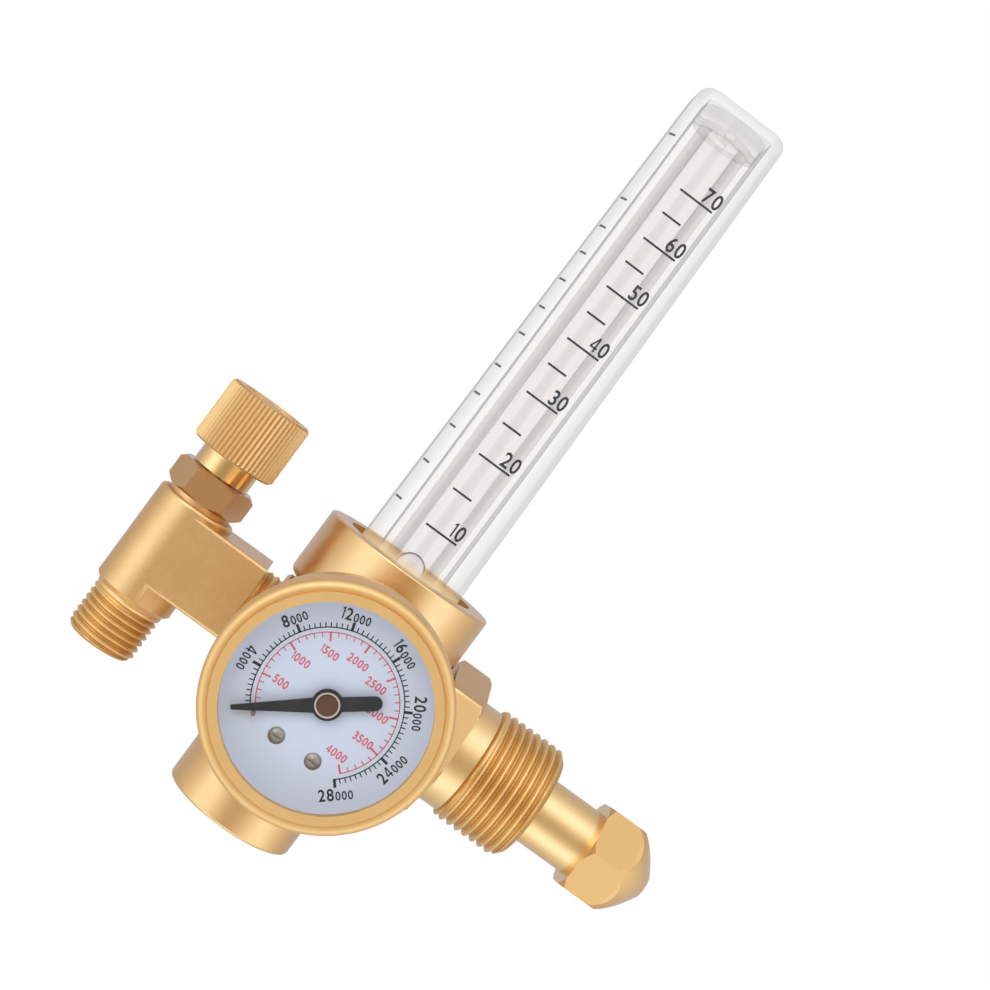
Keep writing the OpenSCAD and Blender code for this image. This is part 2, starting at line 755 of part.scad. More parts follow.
// Forged block between the barrel and the body, rounded along its length and at its inner end
module valve_block() {
  edge_r = 0.8;
  end_r = 0.5;
  intersection() {
    translate([-valve_x, 0, 0]) rotate([90, 0, 90]) linear_extrude(valve_x - block_x)
      rounded_rect(-block_w / 2, axis_z - block_down, block_w / 2, axis_z + block_up, edge_r);
    translate([0, block_w / 2 + 1, 0]) rotate([90, 0, 0]) linear_extrude(block_w + 2)
      rounded_rect(-valve_x - 1, axis_z - block_down - 1, -block_x, axis_z + block_up + 1, 1 + end_r);
  }
}

module valve_outside() {
  edge_r = 0.8;
  on_valve_axis() {
    rotate_extrude() {
      translate([0, barrel_foot_z + barrel_chamfer])
        square([barrel_r, barrel_top_z - edge_r - barrel_foot_z - barrel_chamfer]);
      translate([0, barrel_foot_z + barrel_chamfer])
        square([barrel_r - edge_r, barrel_top_z - barrel_foot_z - barrel_chamfer]);
      translate([barrel_r - edge_r, barrel_top_z - edge_r]) circle(r = edge_r, $fn = 32);
      polygon([
        [0, barrel_foot_z], [barrel_r - barrel_chamfer, barrel_foot_z],
        [barrel_r, barrel_foot_z + barrel_chamfer], [0, barrel_foot_z + barrel_chamfer],
      ]);
    }
    bar(collar_d / 2, barrel_top_z - 1, bonnet_z);
    bar(bonnet_neck_r, bonnet_z - 1, bonnet_z + bonnet_neck_h);
    bar(outlet_thread_d / 2, outlet_end_z + 0.8, barrel_foot_z + 1);
    taper(outlet_thread_d / 2 - 0.8, outlet_thread_d / 2, outlet_end_z, outlet_end_z + 0.8);
  }
  valve_block();
  toward_valve() bar(pipe_r, valve_boss_reach - pipe_thread_l, block_x + 1);
}

module needle_valve_body() {
  cone_h = 1.6;
  color(satin_brass) difference() {
    valve_outside();
    on_valve_axis() {
      bar(stem_chamber_r, stem_chamber_z, bonnet_top_z);
      bar(valve_orifice_r, stem_chamber_z - valve_orifice_l - 1, stem_chamber_z + 1);
      bar(outlet_bore_r, outlet_end_z - 1, stem_chamber_z - valve_orifice_l);
      taper(outlet_bore_r + cone_h, outlet_bore_r, outlet_end_z - 0.01, outlet_end_z + cone_h);
    }
    toward_valve() bar(passage_r + 0.5, 0, valve_x);
  }
}

module bonnet_nut() {
  color(pink_brass) on_valve_axis() difference() {
    rotate([0, 0, bonnet_turn]) turned_hex(bonnet_af, bonnet_z, bonnet_top_z, 1.1, 0.9);
    bar(bonnet_neck_r + seat_gap, bonnet_z - 1, bonnet_z + bonnet_neck_h + 0.1);
    bar(stem_r + running_gap, bonnet_z, bonnet_top_z + 1);
  }
}

module needle_stem() {
  groove_half = 0.85;
  color(polished_brass) on_valve_axis() difference() {
    union() {
      taper(needle_tip_r, needle_r, needle_tip_z, needle_cone_z);
      bar(needle_r, needle_cone_z, stem_collar_z);
      bar(stem_collar_r, stem_collar_z, stem_collar_z + stem_collar_h);
      bar(stem_r, stem_collar_z + stem_collar_h, stem_top_z);
    }
    ring(stem_collar_r + 1, stem_collar_r - 1.35, valve_ring_z - groove_half, valve_ring_z + groove_half);
    bar(0.9, stem_top_z - 6, stem_top_z + 1);
  }
}

module stem_o_ring() {
  wire_r = 0.65;
  color(rubber) on_valve_axis() o_ring(stem_collar_r - wire_r + running_gap / 2, wire_r, valve_ring_z);
}

// Outline of the grip: v-shaped flutes round a circle
function fluted_points(r, depth, count) = [
  for (i = [0 : 2 * count - 1]) let (a = 180 * i / count, q = r - (i % 2) * depth)
    [q * cos(a), q * sin(a)],
];

module valve_knob() {
  r = knob_d / 2;
  edge = 0.6;
  color(satin_brass) on_valve_axis() difference() {
    union() {
      bar(hub_d / 2, hub_z, grip_z + 1);
      intersection() {
        translate([0, 0, grip_z]) linear_extrude(knob_h)
          polygon(fluted_points(r, flute_depth, flutes));
        rotate_extrude() polygon([
          [0, grip_z], [r - edge, grip_z], [r + 0.01, grip_z + edge],
          [r + 0.01, knob_top_z - edge], [r - edge, knob_top_z], [0, knob_top_z],
        ]);
      }
    }
    bar(dish_d / 2, dish_z, knob_top_z + 1);
    bar(stem_r + 0.02, hub_z - 1, stem_top_z);
    bar(1.1, stem_top_z - 1, dish_z + 1);
  }
}

module knob_screw() {
  color(steel) on_valve_axis() difference() {
    union() {
      bar(2.1, dish_z, dish_z + 0.7);
      bar(0.88, stem_top_z - 5, dish_z);
    }
    translate([-3, -0.3, dish_z + 0.35]) cube([6, 0.6, 1]);
  }
}

// Gauge

module gauge_socket() {
  color(satin_brass) toward_gauge() difference() {
    union() {
      bar(gauge_thread_d / 2, gauge_boss_reach - gauge_thread_l + 0.2, gauge_boss_reach);
      turned_hex(socket_af, gauge_boss_reach, case_back, 0.6, 0.6);
      bar(5.5, case_back - 0.5, case_floor);
      bar(7.2, case_floor, block_front);
      translate([-post_half, -bourdon_r - 3, case_floor])
        cube([2 * post_half, bourdon_r + 3, block_front - case_floor]);
      translate([-post_half, -bourdon_r - 3, case_floor])
        cube([2 * post_half, bourdon_r + 3 + post_top, dial_back - case_floor]);
    }
    bar(passage_r, 0, case_floor + 2);
    translate([0, 0, case_floor + 1.6]) rotate([90, 0, 0]) bar(passage_r, 0, bourdon_r);
    translate([0, -bourdon_r, 0]) bar(passage_r, case_floor + 1.6, bourdon_mid);
    for (sx = [-1, 1]) translate([sx * dial_screw_x, dial_screw_y, 0])
      bar(dial_screw_r + seat_gap, dial_back - 4, dial_back + 1);
    bourdon_slot();
  }
}

// Section of the flattened tube: a square with two round ends
module bourdon_section(w, t) {
  square([t, w - t], center = true);
  for (s = [-1, 1]) translate([0, s * (w - t) / 2]) circle(r = t / 2, $fn = 32);
}

module bourdon_sweep(w, t, from, to) {
  translate([0, 0, bourdon_mid]) rotate([0, 0, from]) rotate_extrude(angle = to - from)
    translate([bourdon_r, 0]) bourdon_section(w, t);
}

module bourdon_slot() {
  bourdon_sweep(bourdon_w + 0.1, bourdon_t + 0.1, 240, 276);
}

module bourdon_tube() {
  end_angle = bourdon_tip_angle;
  color(bronze) toward_gauge() {
    difference() {
      bourdon_sweep(bourdon_w, bourdon_t, end_angle, 274);
      bourdon_sweep(bourdon_w - 0.8, bourdon_t - 0.8, end_angle + 4, 280);
    }
    rotate([0, 0, end_angle]) translate([bourdon_r - 3.6, -2.3, bourdon_mid + 0.6])
      cube([4.2, 2.6, 0.7]);
  }
}

module gauge_case() {
  edge_r = 1.8;
  color(satin_brass) toward_gauge() difference() {
    rotate_extrude() {
      translate([0, case_back + edge_r]) square([case_r, case_front - case_back - edge_r]);
      translate([0, case_back]) square([case_r - edge_r, case_front - case_back]);
      translate([case_r - edge_r, case_back + edge_r]) circle(r = edge_r, $fn = 48);
    }
    bar(case_r - case_wall, case_floor, case_front + 1);
    bar(5.55, case_back - 1, case_floor + 1);
  }
}

module gauge_bezel() {
  rim_r = 1.4;
  groove_r = bezel_r - 1.7;
  rim_front = gauge_front - 0.5;
  color(satin_brass) toward_gauge() difference() {
    rotate_extrude() {
      translate([window_d / 2, lens_front + seat_gap])
        square([groove_r - 0.3 - window_d / 2, bezel_lip_t]);
      translate([window_d / 2, gauge_front - bezel_depth])
        square([bezel_r - window_d / 2, bezel_depth - 0.5 - rim_r]);
      translate([window_d / 2, gauge_front - bezel_depth])
        square([bezel_r - rim_r - window_d / 2, bezel_depth - 0.8]);
      translate([bezel_r - rim_r, rim_front - rim_r]) circle(r = rim_r, $fn = 48);
    }
    bar(case_r + seat_gap, 0, lens_front + seat_gap);
  }
}

module gauge_lens() {
  color(clear) toward_gauge() bar(lens_r, lens_back, lens_front);
}

module dial_plate() {
  color(dial_white) toward_gauge() difference() {
    bar(dial_r, dial_back, dial_front);
    bar(1.6, dial_back - 1, dial_front + 1);
    for (sx = [-1, 1]) translate([sx * dial_screw_x, dial_screw_y, 0])
      bar(dial_screw_r + seat_gap, dial_back - 1, dial_front + 1);
    rotate([0, 0, stop_angle]) translate([stop_r, 0, 0])
      bar(stop_pin_r + 0.03, dial_back - 1, dial_front + 1);
  }
}

module dial_screws() {
  color(steel) toward_gauge() for (sx = [-1, 1]) translate([sx * dial_screw_x, dial_screw_y, 0])
    difference() {
      union() {
        bar(dial_screw_r, dial_back - 3.5, dial_front);
        intersection() {
          bar(1.5, dial_front, dial_front + 0.8);
          translate([0, 0, dial_front - 1.4]) sphere(r = 2.1, $fn = 48);
        }
      }
      translate([-2, -0.2, dial_front + 0.4]) cube([4, 0.4, 1]);
    }
}

module stop_pin() {
  color(steel) toward_gauge() rotate([0, 0, stop_angle]) translate([stop_r, 0, 0])
    bar(stop_pin_r, dial_back - 0.4, pointer_back + pointer_t + 0.2);
}

// Flat arm from the gauge's axis to a point
module plate_arm(x, y, w) {
  rotate([0, 0, atan2(y, x)]) translate([0, -w / 2]) square([norm([x, y]), w]);
}

// Plate of the movement: lobes round the arbor, the sector's pivot and the pillars
module movement_plate(z0, z1) {
  lobe_r = 1.6;
  arm_w = 2.4;
  translate([0, 0, z0]) linear_extrude(z1 - z0) {
    circle(r = 3.2);
    translate([pivot_x, pivot_y]) circle(r = lobe_r);
    plate_arm(pivot_x, pivot_y, arm_w);
    for (sy = [-1, 1]) {
      translate([pillar_x, sy * pillar_y]) circle(r = lobe_r);
      plate_arm(pillar_x, sy * pillar_y, arm_w);
    }
    translate([pillar_x - arm_w / 2, -pillar_y]) square([arm_w, 2 * pillar_y]);
  }
}

module movement_back_plate() {
  color(polished_brass) toward_gauge() difference() {
    movement_plate(block_front, back_plate_front);
    for (at = [[0, 0, 0], [pivot_x, pivot_y, 0]]) translate(at)
      bar(arbor_r + running_gap, block_front - 1, back_plate_front + 1);
  }
}

module movement_front_plate() {
  color(polished_brass) toward_gauge() difference() {
    union() {
      movement_plate(front_plate_back, front_plate_back + plate_t);
      rotate([0, 0, 150]) translate([hairspring_r + 0.6, 0, 0])
        bar(0.45, hairspring_back, front_plate_back + 0.5);
    }
    for (at = [[0, 0, 0], [pivot_x, pivot_y, 0]]) translate(at)
      bar(arbor_r + running_gap, front_plate_back - 1, front_plate_back + plate_t + 1);
    for (sy = [-1, 1]) translate([pillar_x, sy * pillar_y, 0])
      bar(0.6 + seat_gap, front_plate_back - 1, front_plate_back + plate_t + 1);
  }
}

module movement_pillars() {
  color(steel) toward_gauge() for (sy = [-1, 1]) translate([pillar_x, sy * pillar_y, 0]) {
    bar(0.9, back_plate_front, front_plate_back);
    difference() {
      union() {
        bar(0.6, back_plate_front, front_plate_back + plate_t + 0.5);
        bar(1.2, front_plate_back + plate_t, front_plate_back + plate_t + 0.7);
      }
      translate([-2, -0.2, front_plate_back + plate_t + 0.35]) cube([4, 0.4, 1]);
    }
  }
}

// Outline of one gear tooth between its root and its tip, as half angles at three radii
function tooth_points(pitch_r, teeth, a) = let (
    step = 360 / teeth,
    root_r = pitch_r - 1.2 * gear_module,
    tip_r = pitch_r + 0.9 * gear_module)
  [for (q = [
      [root_r, -0.36], [pitch_r, -0.235], [tip_r, -0.11],
      [tip_r, 0.11], [pitch_r, 0.235], [root_r, 0.36]])
    [q[0] * cos(a + q[1] * step), q[0] * sin(a + q[1] * step)]];

module sector_gear() {
  step = 360 / sector_teeth;
  first = floor((sector_swing + 5) / step);
  last = 2;
  hub_r = 1.3;
  hole_r = 1;
  hole_at = 0.62 * (sector_pitch_r - 1.2 * gear_module);
  teeth = [for (i = [-first : last])
    each tooth_points(sector_pitch_r, sector_teeth, mesh_angle + i * step)];
  color(polished_brass) toward_gauge() translate([pivot_x, pivot_y, 0]) {
    translate([0, 0, sector_back]) linear_extrude(sector_t) difference() {
      union() {
        polygon(concat([[0, 0]], teeth));
        circle(r = hub_r, $fn = 48);
        rotate([0, 0, tail_angle]) {
          polygon([[0, -1], [tail_r, -0.6], [tail_r, 0.6], [0, 1]]);
          translate([tail_r, 0]) circle(r = link_r, $fn = 48);
        }
      }
      rotate([0, 0, mesh_angle - sector_swing / 2]) translate([hole_at, 0]) circle(r = hole_r, $fn = 48);
    }
    bar(arbor_r, block_front + 0.6, front_plate_back + 0.5);
    rotate([0, 0, tail_angle]) translate([tail_r, 0, 0])
      bar(link_pin_r, sector_back, link_back + link_t + 0.15);
  }
}

// Link from the sector's tail up to the bracket on the bourdon tube's tip
module tip_link() {
  color(steel) toward_gauge() translate([tail_x, tail_y, 0]) difference() {
    union() {
      bar(link_r, link_back, link_back + link_t);
      translate([0, link_l, 0]) bar(link_r, link_back, link_back + link_t);
      translate([-link_r / 2, 0, link_back]) cube([link_r, link_l, link_t]);
      translate([0, link_l, 0]) bar(link_pin_r, link_back, link_back + link_t + 0.25);
    }
    bar(link_pin_r + seat_gap, link_back - 1, link_back + link_t + 1);
  }
}

module pinion_arbor() {
  phase = mesh_angle + 180 + 180 / pinion_teeth;
  teeth = [for (i = [0 : pinion_teeth - 1])
    each tooth_points(pinion_pitch_r, pinion_teeth, phase + i * 360 / pinion_teeth)];
  color(steel) toward_gauge() {
    bar(arbor_r, block_front + 0.6, arbor_front);
    bar(0.7, front_plate_back + plate_t + 0.1, pointer_back - 0.6);
    translate([0, 0, sector_back - 0.4]) linear_extrude(sector_t + 0.8) polygon(teeth);
  }
}

module hairspring() {
  turns = 3;
  steps = 24 * turns;
  r0 = 0.75;
  r1 = hairspring_r;
  t = 0.18;
  turn_end = 150;
  function arm(side) = [for (i = [0 : steps]) let (
      r = r0 + (r1 - r0) * i / steps + side * t / 2, a = turn_end + 360 * turns * (i / steps - 1))
    [r * cos(a), r * sin(a)]];
  outer = arm(1);
  inner = arm(-1);
  color(bronze) toward_gauge() translate([0, 0, hairspring_back]) {
    linear_extrude(hairspring_w)
      polygon(concat(outer, [for (i = [steps : -1 : 0]) inner[i]]));
    difference() {
      cylinder(r = 0.85, h = hairspring_w);
      translate([0, 0, -1]) cylinder(r = arbor_r + seat_gap, h = hairspring_w + 2);
    }
  }
}

// Pointer: a tapering blade, a hub and a tail with a round end
module gauge_pointer() {
  tip_half = 0.4;
  hub_half = 1.3;
  tail_half = 1.25;
  color(black) toward_gauge() rotate([0, 0, pointer_rest_angle]) difference() {
    translate([0, 0, pointer_back]) linear_extrude(pointer_t) {
      polygon([
        [-tail_l, -tail_half], [0, -tail_half], [2, -hub_half], [pointer_l, -tip_half],
        [pointer_l, tip_half], [2, hub_half], [0, tail_half], [-tail_l, tail_half],
      ]);
      translate([-tail_l, 0]) circle(r = tail_half, $fn = 48);
      circle(r = 2.75);
    }
    bar(arbor_r + 0.01, pointer_back - 1, pointer_back + pointer_t + 1);
  }
}

module pointer_cap() {
  color(steel) toward_gauge() difference() {
    union() {
      bar(2.2, arbor_front, arbor_front + 0.5);
      bar(1.5, arbor_front, arbor_front + 0.7);
    }
    ring(2, 1.75, arbor_front + 0.35, arbor_front + 1);
  }
}

regulator_body();
bottom_cap();
cap_gasket();
piston();
piston_o_ring();
piston_stem_o_ring();
piston_seat();
piston_spring();
valve_nozzle();
tube_nut();
tube_gasket();
flow_cover();
metering_tube();
metering_tube_o_ring();
ball_seat();
float_ball();
tube_top_plug();
inlet_nipple();
inlet_filter();
inlet_nut();
needle_valve_body();
bonnet_nut();
needle_stem();
stem_o_ring();
valve_knob();
knob_screw();
gauge_socket();
gauge_case();
gauge_bezel();
gauge_lens();
dial_plate();
dial_screws();
stop_pin();
bourdon_tube();
tip_link();
sector_gear();
movement_back_plate();
movement_front_plate();
movement_pillars();
pinion_arbor();
hairspring();
gauge_pointer();
pointer_cap();
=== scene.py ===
import json
import math

import bmesh
import bpy
from mathutils import Matrix, Vector


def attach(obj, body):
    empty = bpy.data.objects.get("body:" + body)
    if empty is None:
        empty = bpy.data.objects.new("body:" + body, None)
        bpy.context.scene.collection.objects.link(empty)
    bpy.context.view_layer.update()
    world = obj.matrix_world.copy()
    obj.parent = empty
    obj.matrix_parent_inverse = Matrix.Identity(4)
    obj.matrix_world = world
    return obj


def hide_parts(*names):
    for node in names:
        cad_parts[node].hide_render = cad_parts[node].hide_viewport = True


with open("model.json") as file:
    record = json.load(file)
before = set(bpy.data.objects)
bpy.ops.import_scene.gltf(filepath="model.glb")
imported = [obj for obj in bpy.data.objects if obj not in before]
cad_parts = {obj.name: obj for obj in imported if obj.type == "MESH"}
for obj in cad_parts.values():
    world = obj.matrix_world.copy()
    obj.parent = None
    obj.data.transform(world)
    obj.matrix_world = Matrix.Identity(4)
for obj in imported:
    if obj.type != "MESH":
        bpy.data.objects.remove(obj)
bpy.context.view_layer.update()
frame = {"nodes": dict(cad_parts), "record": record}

# Lengths in this script are in millimetres and become metres through MM
MM = 0.001
RECORD = frame["record"]
NODES = frame["nodes"]
SLOT_OF = {s["node"]: s["material_slot"] for s in RECORD["subparts"]}

# Axes that pieces are placed on: inlet, gauge and valve block by height, and valve stem by X
AXIS_Z = 35.0
VALVE_X = -39.5

# Places where a material changes on a piece
# Heights over which the clear tube's painted glow of brass fades out
GLOW_FULL_Z = 58.0
GLOW_END_Z = 61.2
TUBE_CAVITY_HALF = 7.7
METERING_BORE_R = 4.4
RING_HOLE_R = 14.0
# Dial: span of the painted shade and painted glow towards its edge
DIAL_PAINTED_SHADE_START_R = 6.0
DIAL_PAINTED_SHADE_END_R = 19.0
CAP_MIDDLE_R = 1.70
CAP_RING_R = 1.95
NOSE_X = 59.1
DOME_START_X = 66.8
DOME_BRIGHT_X = 71.2
HUB_TOP_Z = 55.4
KNOB_DISH_R = 8.3
FLUTE_ROOT_R = 8.42
FLUTE_CREST_R = 8.82


# Camera

def look_at(eye, target, lean_deg):
    """Camera matrix at eye towards target, with world up leaning clockwise by lean_deg in the image."""
    forward = (target - eye).normalized()
    level_right = forward.cross(Vector((0, 0, 1))).normalized()
    level_up = level_right.cross(forward)
    lean = math.radians(lean_deg)
    up = math.cos(lean) * level_up - math.sin(lean) * level_right
    right = math.cos(lean) * level_right + math.sin(lean) * level_up
    rows = Matrix((right, up, -forward)).transposed().to_4x4()
    rows.translation = eye
    return rows


CAMERA_EYE = Vector((-21.8, -347.0, 86.2)) * MM
CAMERA_TARGET = Vector((4.95, 0.0, 79.65)) * MM
CAMERA_LEAN = 36.5
CAMERA_LENS = 65.78

camera_data = bpy.data.cameras.new("camera")
camera_data.lens = CAMERA_LENS
camera_data.sensor_width = 36.0
camera_data.clip_start = 0.01
camera = bpy.data.objects.new("camera", camera_data)
camera.matrix_world = look_at(CAMERA_EYE, CAMERA_TARGET, CAMERA_LEAN)
bpy.context.scene.collection.objects.link(camera)
bpy.context.scene.camera = camera
bpy.context.scene.view_settings.view_transform = "Standard"


# Shader helpers

class Graph:
    """Adds nodes to a node tree line by line."""

    def __init__(self, tree):
        self.tree = tree
        self.nodes = tree.nodes

    def add(self, kind, **values):
        node = self.nodes.new(kind)
        for key, value in values.items():
            if hasattr(node, key):
                setattr(node, key, value)
            else:
                self.feed(value, node.inputs[key.replace("_", " ")])
        return node

    def link(self, a, b):
        self.tree.links.new(a, b)

    def feed(self, value, socket):
        """Link an output to the socket, or set the socket to a constant."""
        if hasattr(value, "is_linked"):
            self.link(value, socket)
        elif isinstance(value, tuple) and len(value) == 3 and len(socket.default_value) == 4:
            socket.default_value = (*value, 1.0)
        else:
            socket.default_value = value

    def math(self, operation, a, b=0.0):
        node = self.add("ShaderNodeMath", operation=operation)
        self.feed(a, node.inputs[0])
        self.feed(b, node.inputs[1])
        return node.outputs[0]

    def vector(self, operation, a, b=None, scale=None, out="Vector"):
        node = self.add("ShaderNodeVectorMath", operation=operation)
        self.feed(a, node.inputs[0])
        if b is not None:
            self.feed(b, node.inputs[1])
        if scale is not None:
            self.feed(scale, node.inputs["Scale"])
        return node.outputs[out]

    def remap(self, value, low, high, start=0.0, end=1.0, smooth=False):
        """Value of a span from start to end, mapped to low to high."""
        node = self.add("ShaderNodeMapRange", Value=value, From_Min=start, From_Max=end,
                        To_Min=low, To_Max=high)
        if smooth:
            node.interpolation_type = "SMOOTHSTEP"
        return node.outputs["Result"]

    def ramp(self, factor, stops):
        """Colour ramp through stops of (place, linear colour or grey)."""
        node = self.add("ShaderNodeValToRGB", Fac=factor)
        points = node.color_ramp.elements
        while len(points) < len(stops):
            points.new(0.5)
        for point, (at, colour) in zip(points, stops):
            point.position = at
            point.color = (*colour, 1.0) if isinstance(colour, tuple) else (colour, colour, colour, 1.0)
        return node.outputs["Color"]

    def coords(self):
        return self.add("ShaderNodeTexCoord").outputs["Object"]

    def along(self, axis):
        """Coordinate of the shaded point along X, Y or Z, in metres."""
        return self.add("ShaderNodeSeparateXYZ", Vector=self.coords()).outputs[axis]

    def facing(self):
        """0 where the surface is seen face on, 1 where it is seen edge on."""
        return self.add("ShaderNodeLayerWeight", Blend=0.5).outputs["Facing"]

    def noise(self, scale, detail=4.0, rough=0.55):
        return self.add("ShaderNodeTexNoise", Scale=scale, Detail=detail, Roughness=rough,
                        Vector=self.coords()).outputs["Fac"]

    def bump(self, height, strength, distance, normal=None):
        node = self.add("ShaderNodeBump", Strength=strength, Distance=distance, Height=height)
        if normal is not None:
            self.link(normal, node.inputs["Normal"])
        return node.outputs["Normal"]

    def mix(self, factor, a, b):
        node = self.add("ShaderNodeMixShader", Fac=factor)
        self.link(a, node.inputs[1])
        self.link(b, node.inputs[2])
        return node.outputs["Shader"]

    def from_axis(self, centre, keep):
        """Distance in millimetres of the shaded point from a line through centre: keep drops its axis."""
        away = self.vector("SUBTRACT", self.coords(), tuple(c * MM for c in centre))
        length = self.vector("LENGTH", self.vector("MULTIPLY", away, keep), out="Value")
        return self.math("MULTIPLY", length, 1 / MM)


class Shader(Graph):
    """One node material with a principled surface."""

    def __init__(self, name):
        self.material = bpy.data.materials.new(name)
        self.material.use_nodes = True
        super().__init__(self.material.node_tree)
        self.bsdf = self.nodes["Principled BSDF"]

    def put(self, **values):
        for key, value in values.items():
            self.feed(value, self.bsdf.inputs[key.replace("_", " ")])

    def surface(self, shader):
        self.link(shader, self.nodes["Material Output"].inputs["Surface"])


def srgb(r, g, b):
    """Linear colour of an sRGB triple written as 0 to 255."""
    def linear(c):
        c /= 255.0
        return c / 12.92 if c <= 0.04045 else ((c + 0.055) / 1.055) ** 2.4
    return (linear(r), linear(g), linear(b))


def mixed(a, b, t):
    return tuple(p + (q - p) * t for p, q in zip(a, b))


def metal(name, colour, worn, rough, turned_axis=None, turned=0.0, grain=0.2, sand=4200.0, speck=0.0):
    """Satin metal: a mottled tone, a fine sandy grain and, on turned pieces, marks along an axis.

    The grain's scale is sand, and speck is how much of the tone's mottling is as fine as sand.
    """
    s = Shader(name)
    tone = s.noise(90.0, 3.0)
    if speck:
        fine = s.noise(2400.0, 3.0, 0.7)
        tone = s.math("ADD", s.math("MULTIPLY", tone, 1.0 - speck), s.math("MULTIPLY", fine, speck))
    s.put(Base_Color=s.ramp(tone, [(0.3, colour), (0.72, mixed(colour, worn, 0.4 + 0.6 * speck))]))
    s.put(Metallic=1.0, Roughness=s.remap(s.noise(420.0), rough - 0.04, rough + 0.05))
    normal = s.bump(s.noise(sand, 3.0, 0.6), grain, 0.00003)
    if turned_axis is not None:
        wave = s.add("ShaderNodeTexWave", wave_type="BANDS", bands_direction=turned_axis,
                     Scale=900.0, Distortion=1.2, Detail=3.0, Vector=s.coords())
        normal = s.bump(wave.outputs["Fac"], turned, 0.00002, normal)
    s.put(Normal=normal)
    return s.material


def paint(name, colour, other, rough, scale=500.0, strength=0.1):
    """Painted, moulded or rubber surface with a mottled tone and a fine texture."""
    s = Shader(name)
    s.put(Base_Color=s.ramp(s.noise(scale * 0.4, 3.0), [(0.3, colour), (0.7, other)]))
    s.put(Roughness=s.remap(s.noise(scale), rough - 0.06, rough + 0.06))
    s.put(Normal=s.bump(s.noise(scale * 4.0), strength, 0.00003))
    return s.material


def glossed(s, through, facing, gloss):
    """Surface of a clear piece: through, with a faint gloss that grows where it is seen steeply."""
    shine = s.add("ShaderNodeBsdfGlossy", Roughness=0.05)
    share = s.remap(s.math("POWER", facing, 3.0), gloss, gloss + 0.1)
    s.surface(s.mix(share, through, shine.outputs["BSDF"]))


def clear(name, stops, gloss=0.015):
    """Clear plastic, tinted by how steeply it is seen: stops go from face on to edge on."""
    s = Shader(name)
    facing = s.facing()
    through = s.add("ShaderNodeBsdfTransparent", Color=s.ramp(facing, stops))
    glossed(s, through.outputs["BSDF"], facing, gloss)
    return s.material


def two_tints(s, facing, out, inside, outside):
    """Tint of a hollow clear piece: one set of stops for its inside, one for its outside."""
    within = s.math("SUBTRACT", 1.0, out)
    grey = s.vector("ADD", s.vector("SCALE", s.ramp(facing, inside), scale=within),
                    s.vector("SCALE", s.ramp(facing, outside), scale=out))
    return s.vector("MULTIPLY", grey, WARM_CLEAR)


def bored(name, bore_r, inside, outside, gloss=0.015):
    """Clear round tube about the flow axis, split at bore_r into its inside and its outside."""
    s = Shader(name)
    facing = s.facing()
    out = s.math("GREATER_THAN", s.from_axis((0, 0, 0), (1, 1, 0)), bore_r)
    tint = two_tints(s, facing, out, inside, outside)
    straight = s.add("ShaderNodeBsdfRefraction", IOR=1.0, Roughness=0.0, Color=tint)
    shadow = s.add("ShaderNodeBsdfTransparent", Color=tint)
    is_shadow = s.add("ShaderNodeLightPath").outputs["Is Shadow Ray"]
    glossed(s, s.mix(is_shadow, straight.outputs["BSDF"], shadow.outputs["BSDF"]), facing, gloss)
    return s.material


def foot_glow(s, share):
    """Share of the painted glow, a painted reflection of the brass round the tube's foot, by height."""
    near = s.remap(s.along("Z"), 1.0, 0.0, GLOW_FULL_Z * MM, GLOW_END_Z * MM, smooth=True)
    return s.math("MULTIPLY", near, share)


def square_tube(name, cavity_half, inside, outside, gloss=0.015):
    """Clear square tube about the flow axis, with a painted golden glow near its foot, where it stands in
    the brass ring.
    """
    s = Shader(name)
    facing = s.facing()
    split = s.add("ShaderNodeSeparateXYZ", Vector=s.vector("ABSOLUTE", s.coords()))
    reach = s.math("MAXIMUM", split.outputs["X"], split.outputs["Y"])
    tint = two_tints(s, facing, s.math("GREATER_THAN", reach, cavity_half * MM), inside, outside)
    through = s.add("ShaderNodeBsdfTransparent", Color=tint)
    # Painted reflection: the brass round the foot is painted into the clear plastic as a glow
    painted_brass_glow = s.add("ShaderNodeEmission", Color=FOOT_PAINTED_GLOW, Strength=1.0)
    lit = s.mix(foot_glow(s, 0.55), through.outputs["BSDF"], painted_brass_glow.outputs["Emission"])
    glossed(s, lit, facing, gloss)
    return s.material


def ball(name):
    """Small clear ball: a painted bright glow in the middle inside a painted dark outline."""
    s = Shader(name)
    facing = s.facing()
    cloud = s.math("MULTIPLY", s.noise(260.0), 0.3)
    # Painted light and shade: the bright middle and the dark outline are an emission, not lit
    glow = s.add("ShaderNodeEmission", Strength=1.0, Color=s.ramp(s.math("ADD", facing, cloud), [
        (0.0, srgb(222, 210, 206)), (0.35, srgb(246, 240, 240)), (0.66, srgb(236, 228, 228)),
        (0.82, srgb(128, 118, 116)), (1.0, srgb(60, 55, 54))]))
    through = s.add("ShaderNodeBsdfTransparent", Color=(0.9, 0.9, 0.9))
    glossed(s, s.mix(0.82, through.outputs["BSDF"], glow.outputs["Emission"]), facing, 0.06)
    return s.material


WARM_CLEAR = (1.0, 0.995, 0.994)
# Colour of the painted glow in the clear tube's foot
FOOT_PAINTED_GLOW = srgb(245, 217, 170)
BRASS = srgb(232, 191, 136)
BRASS_WORN = srgb(216, 172, 114)
PALE_BRASS = srgb(238, 202, 145)
BROWN_BRASS = srgb(222, 178, 128)
BROWN_WORN = srgb(206, 160, 112)
FLAT_BRASS = srgb(218, 174, 114)
SHADED_BRASS = srgb(176, 128, 82)
POLISHED = srgb(240, 200, 132)

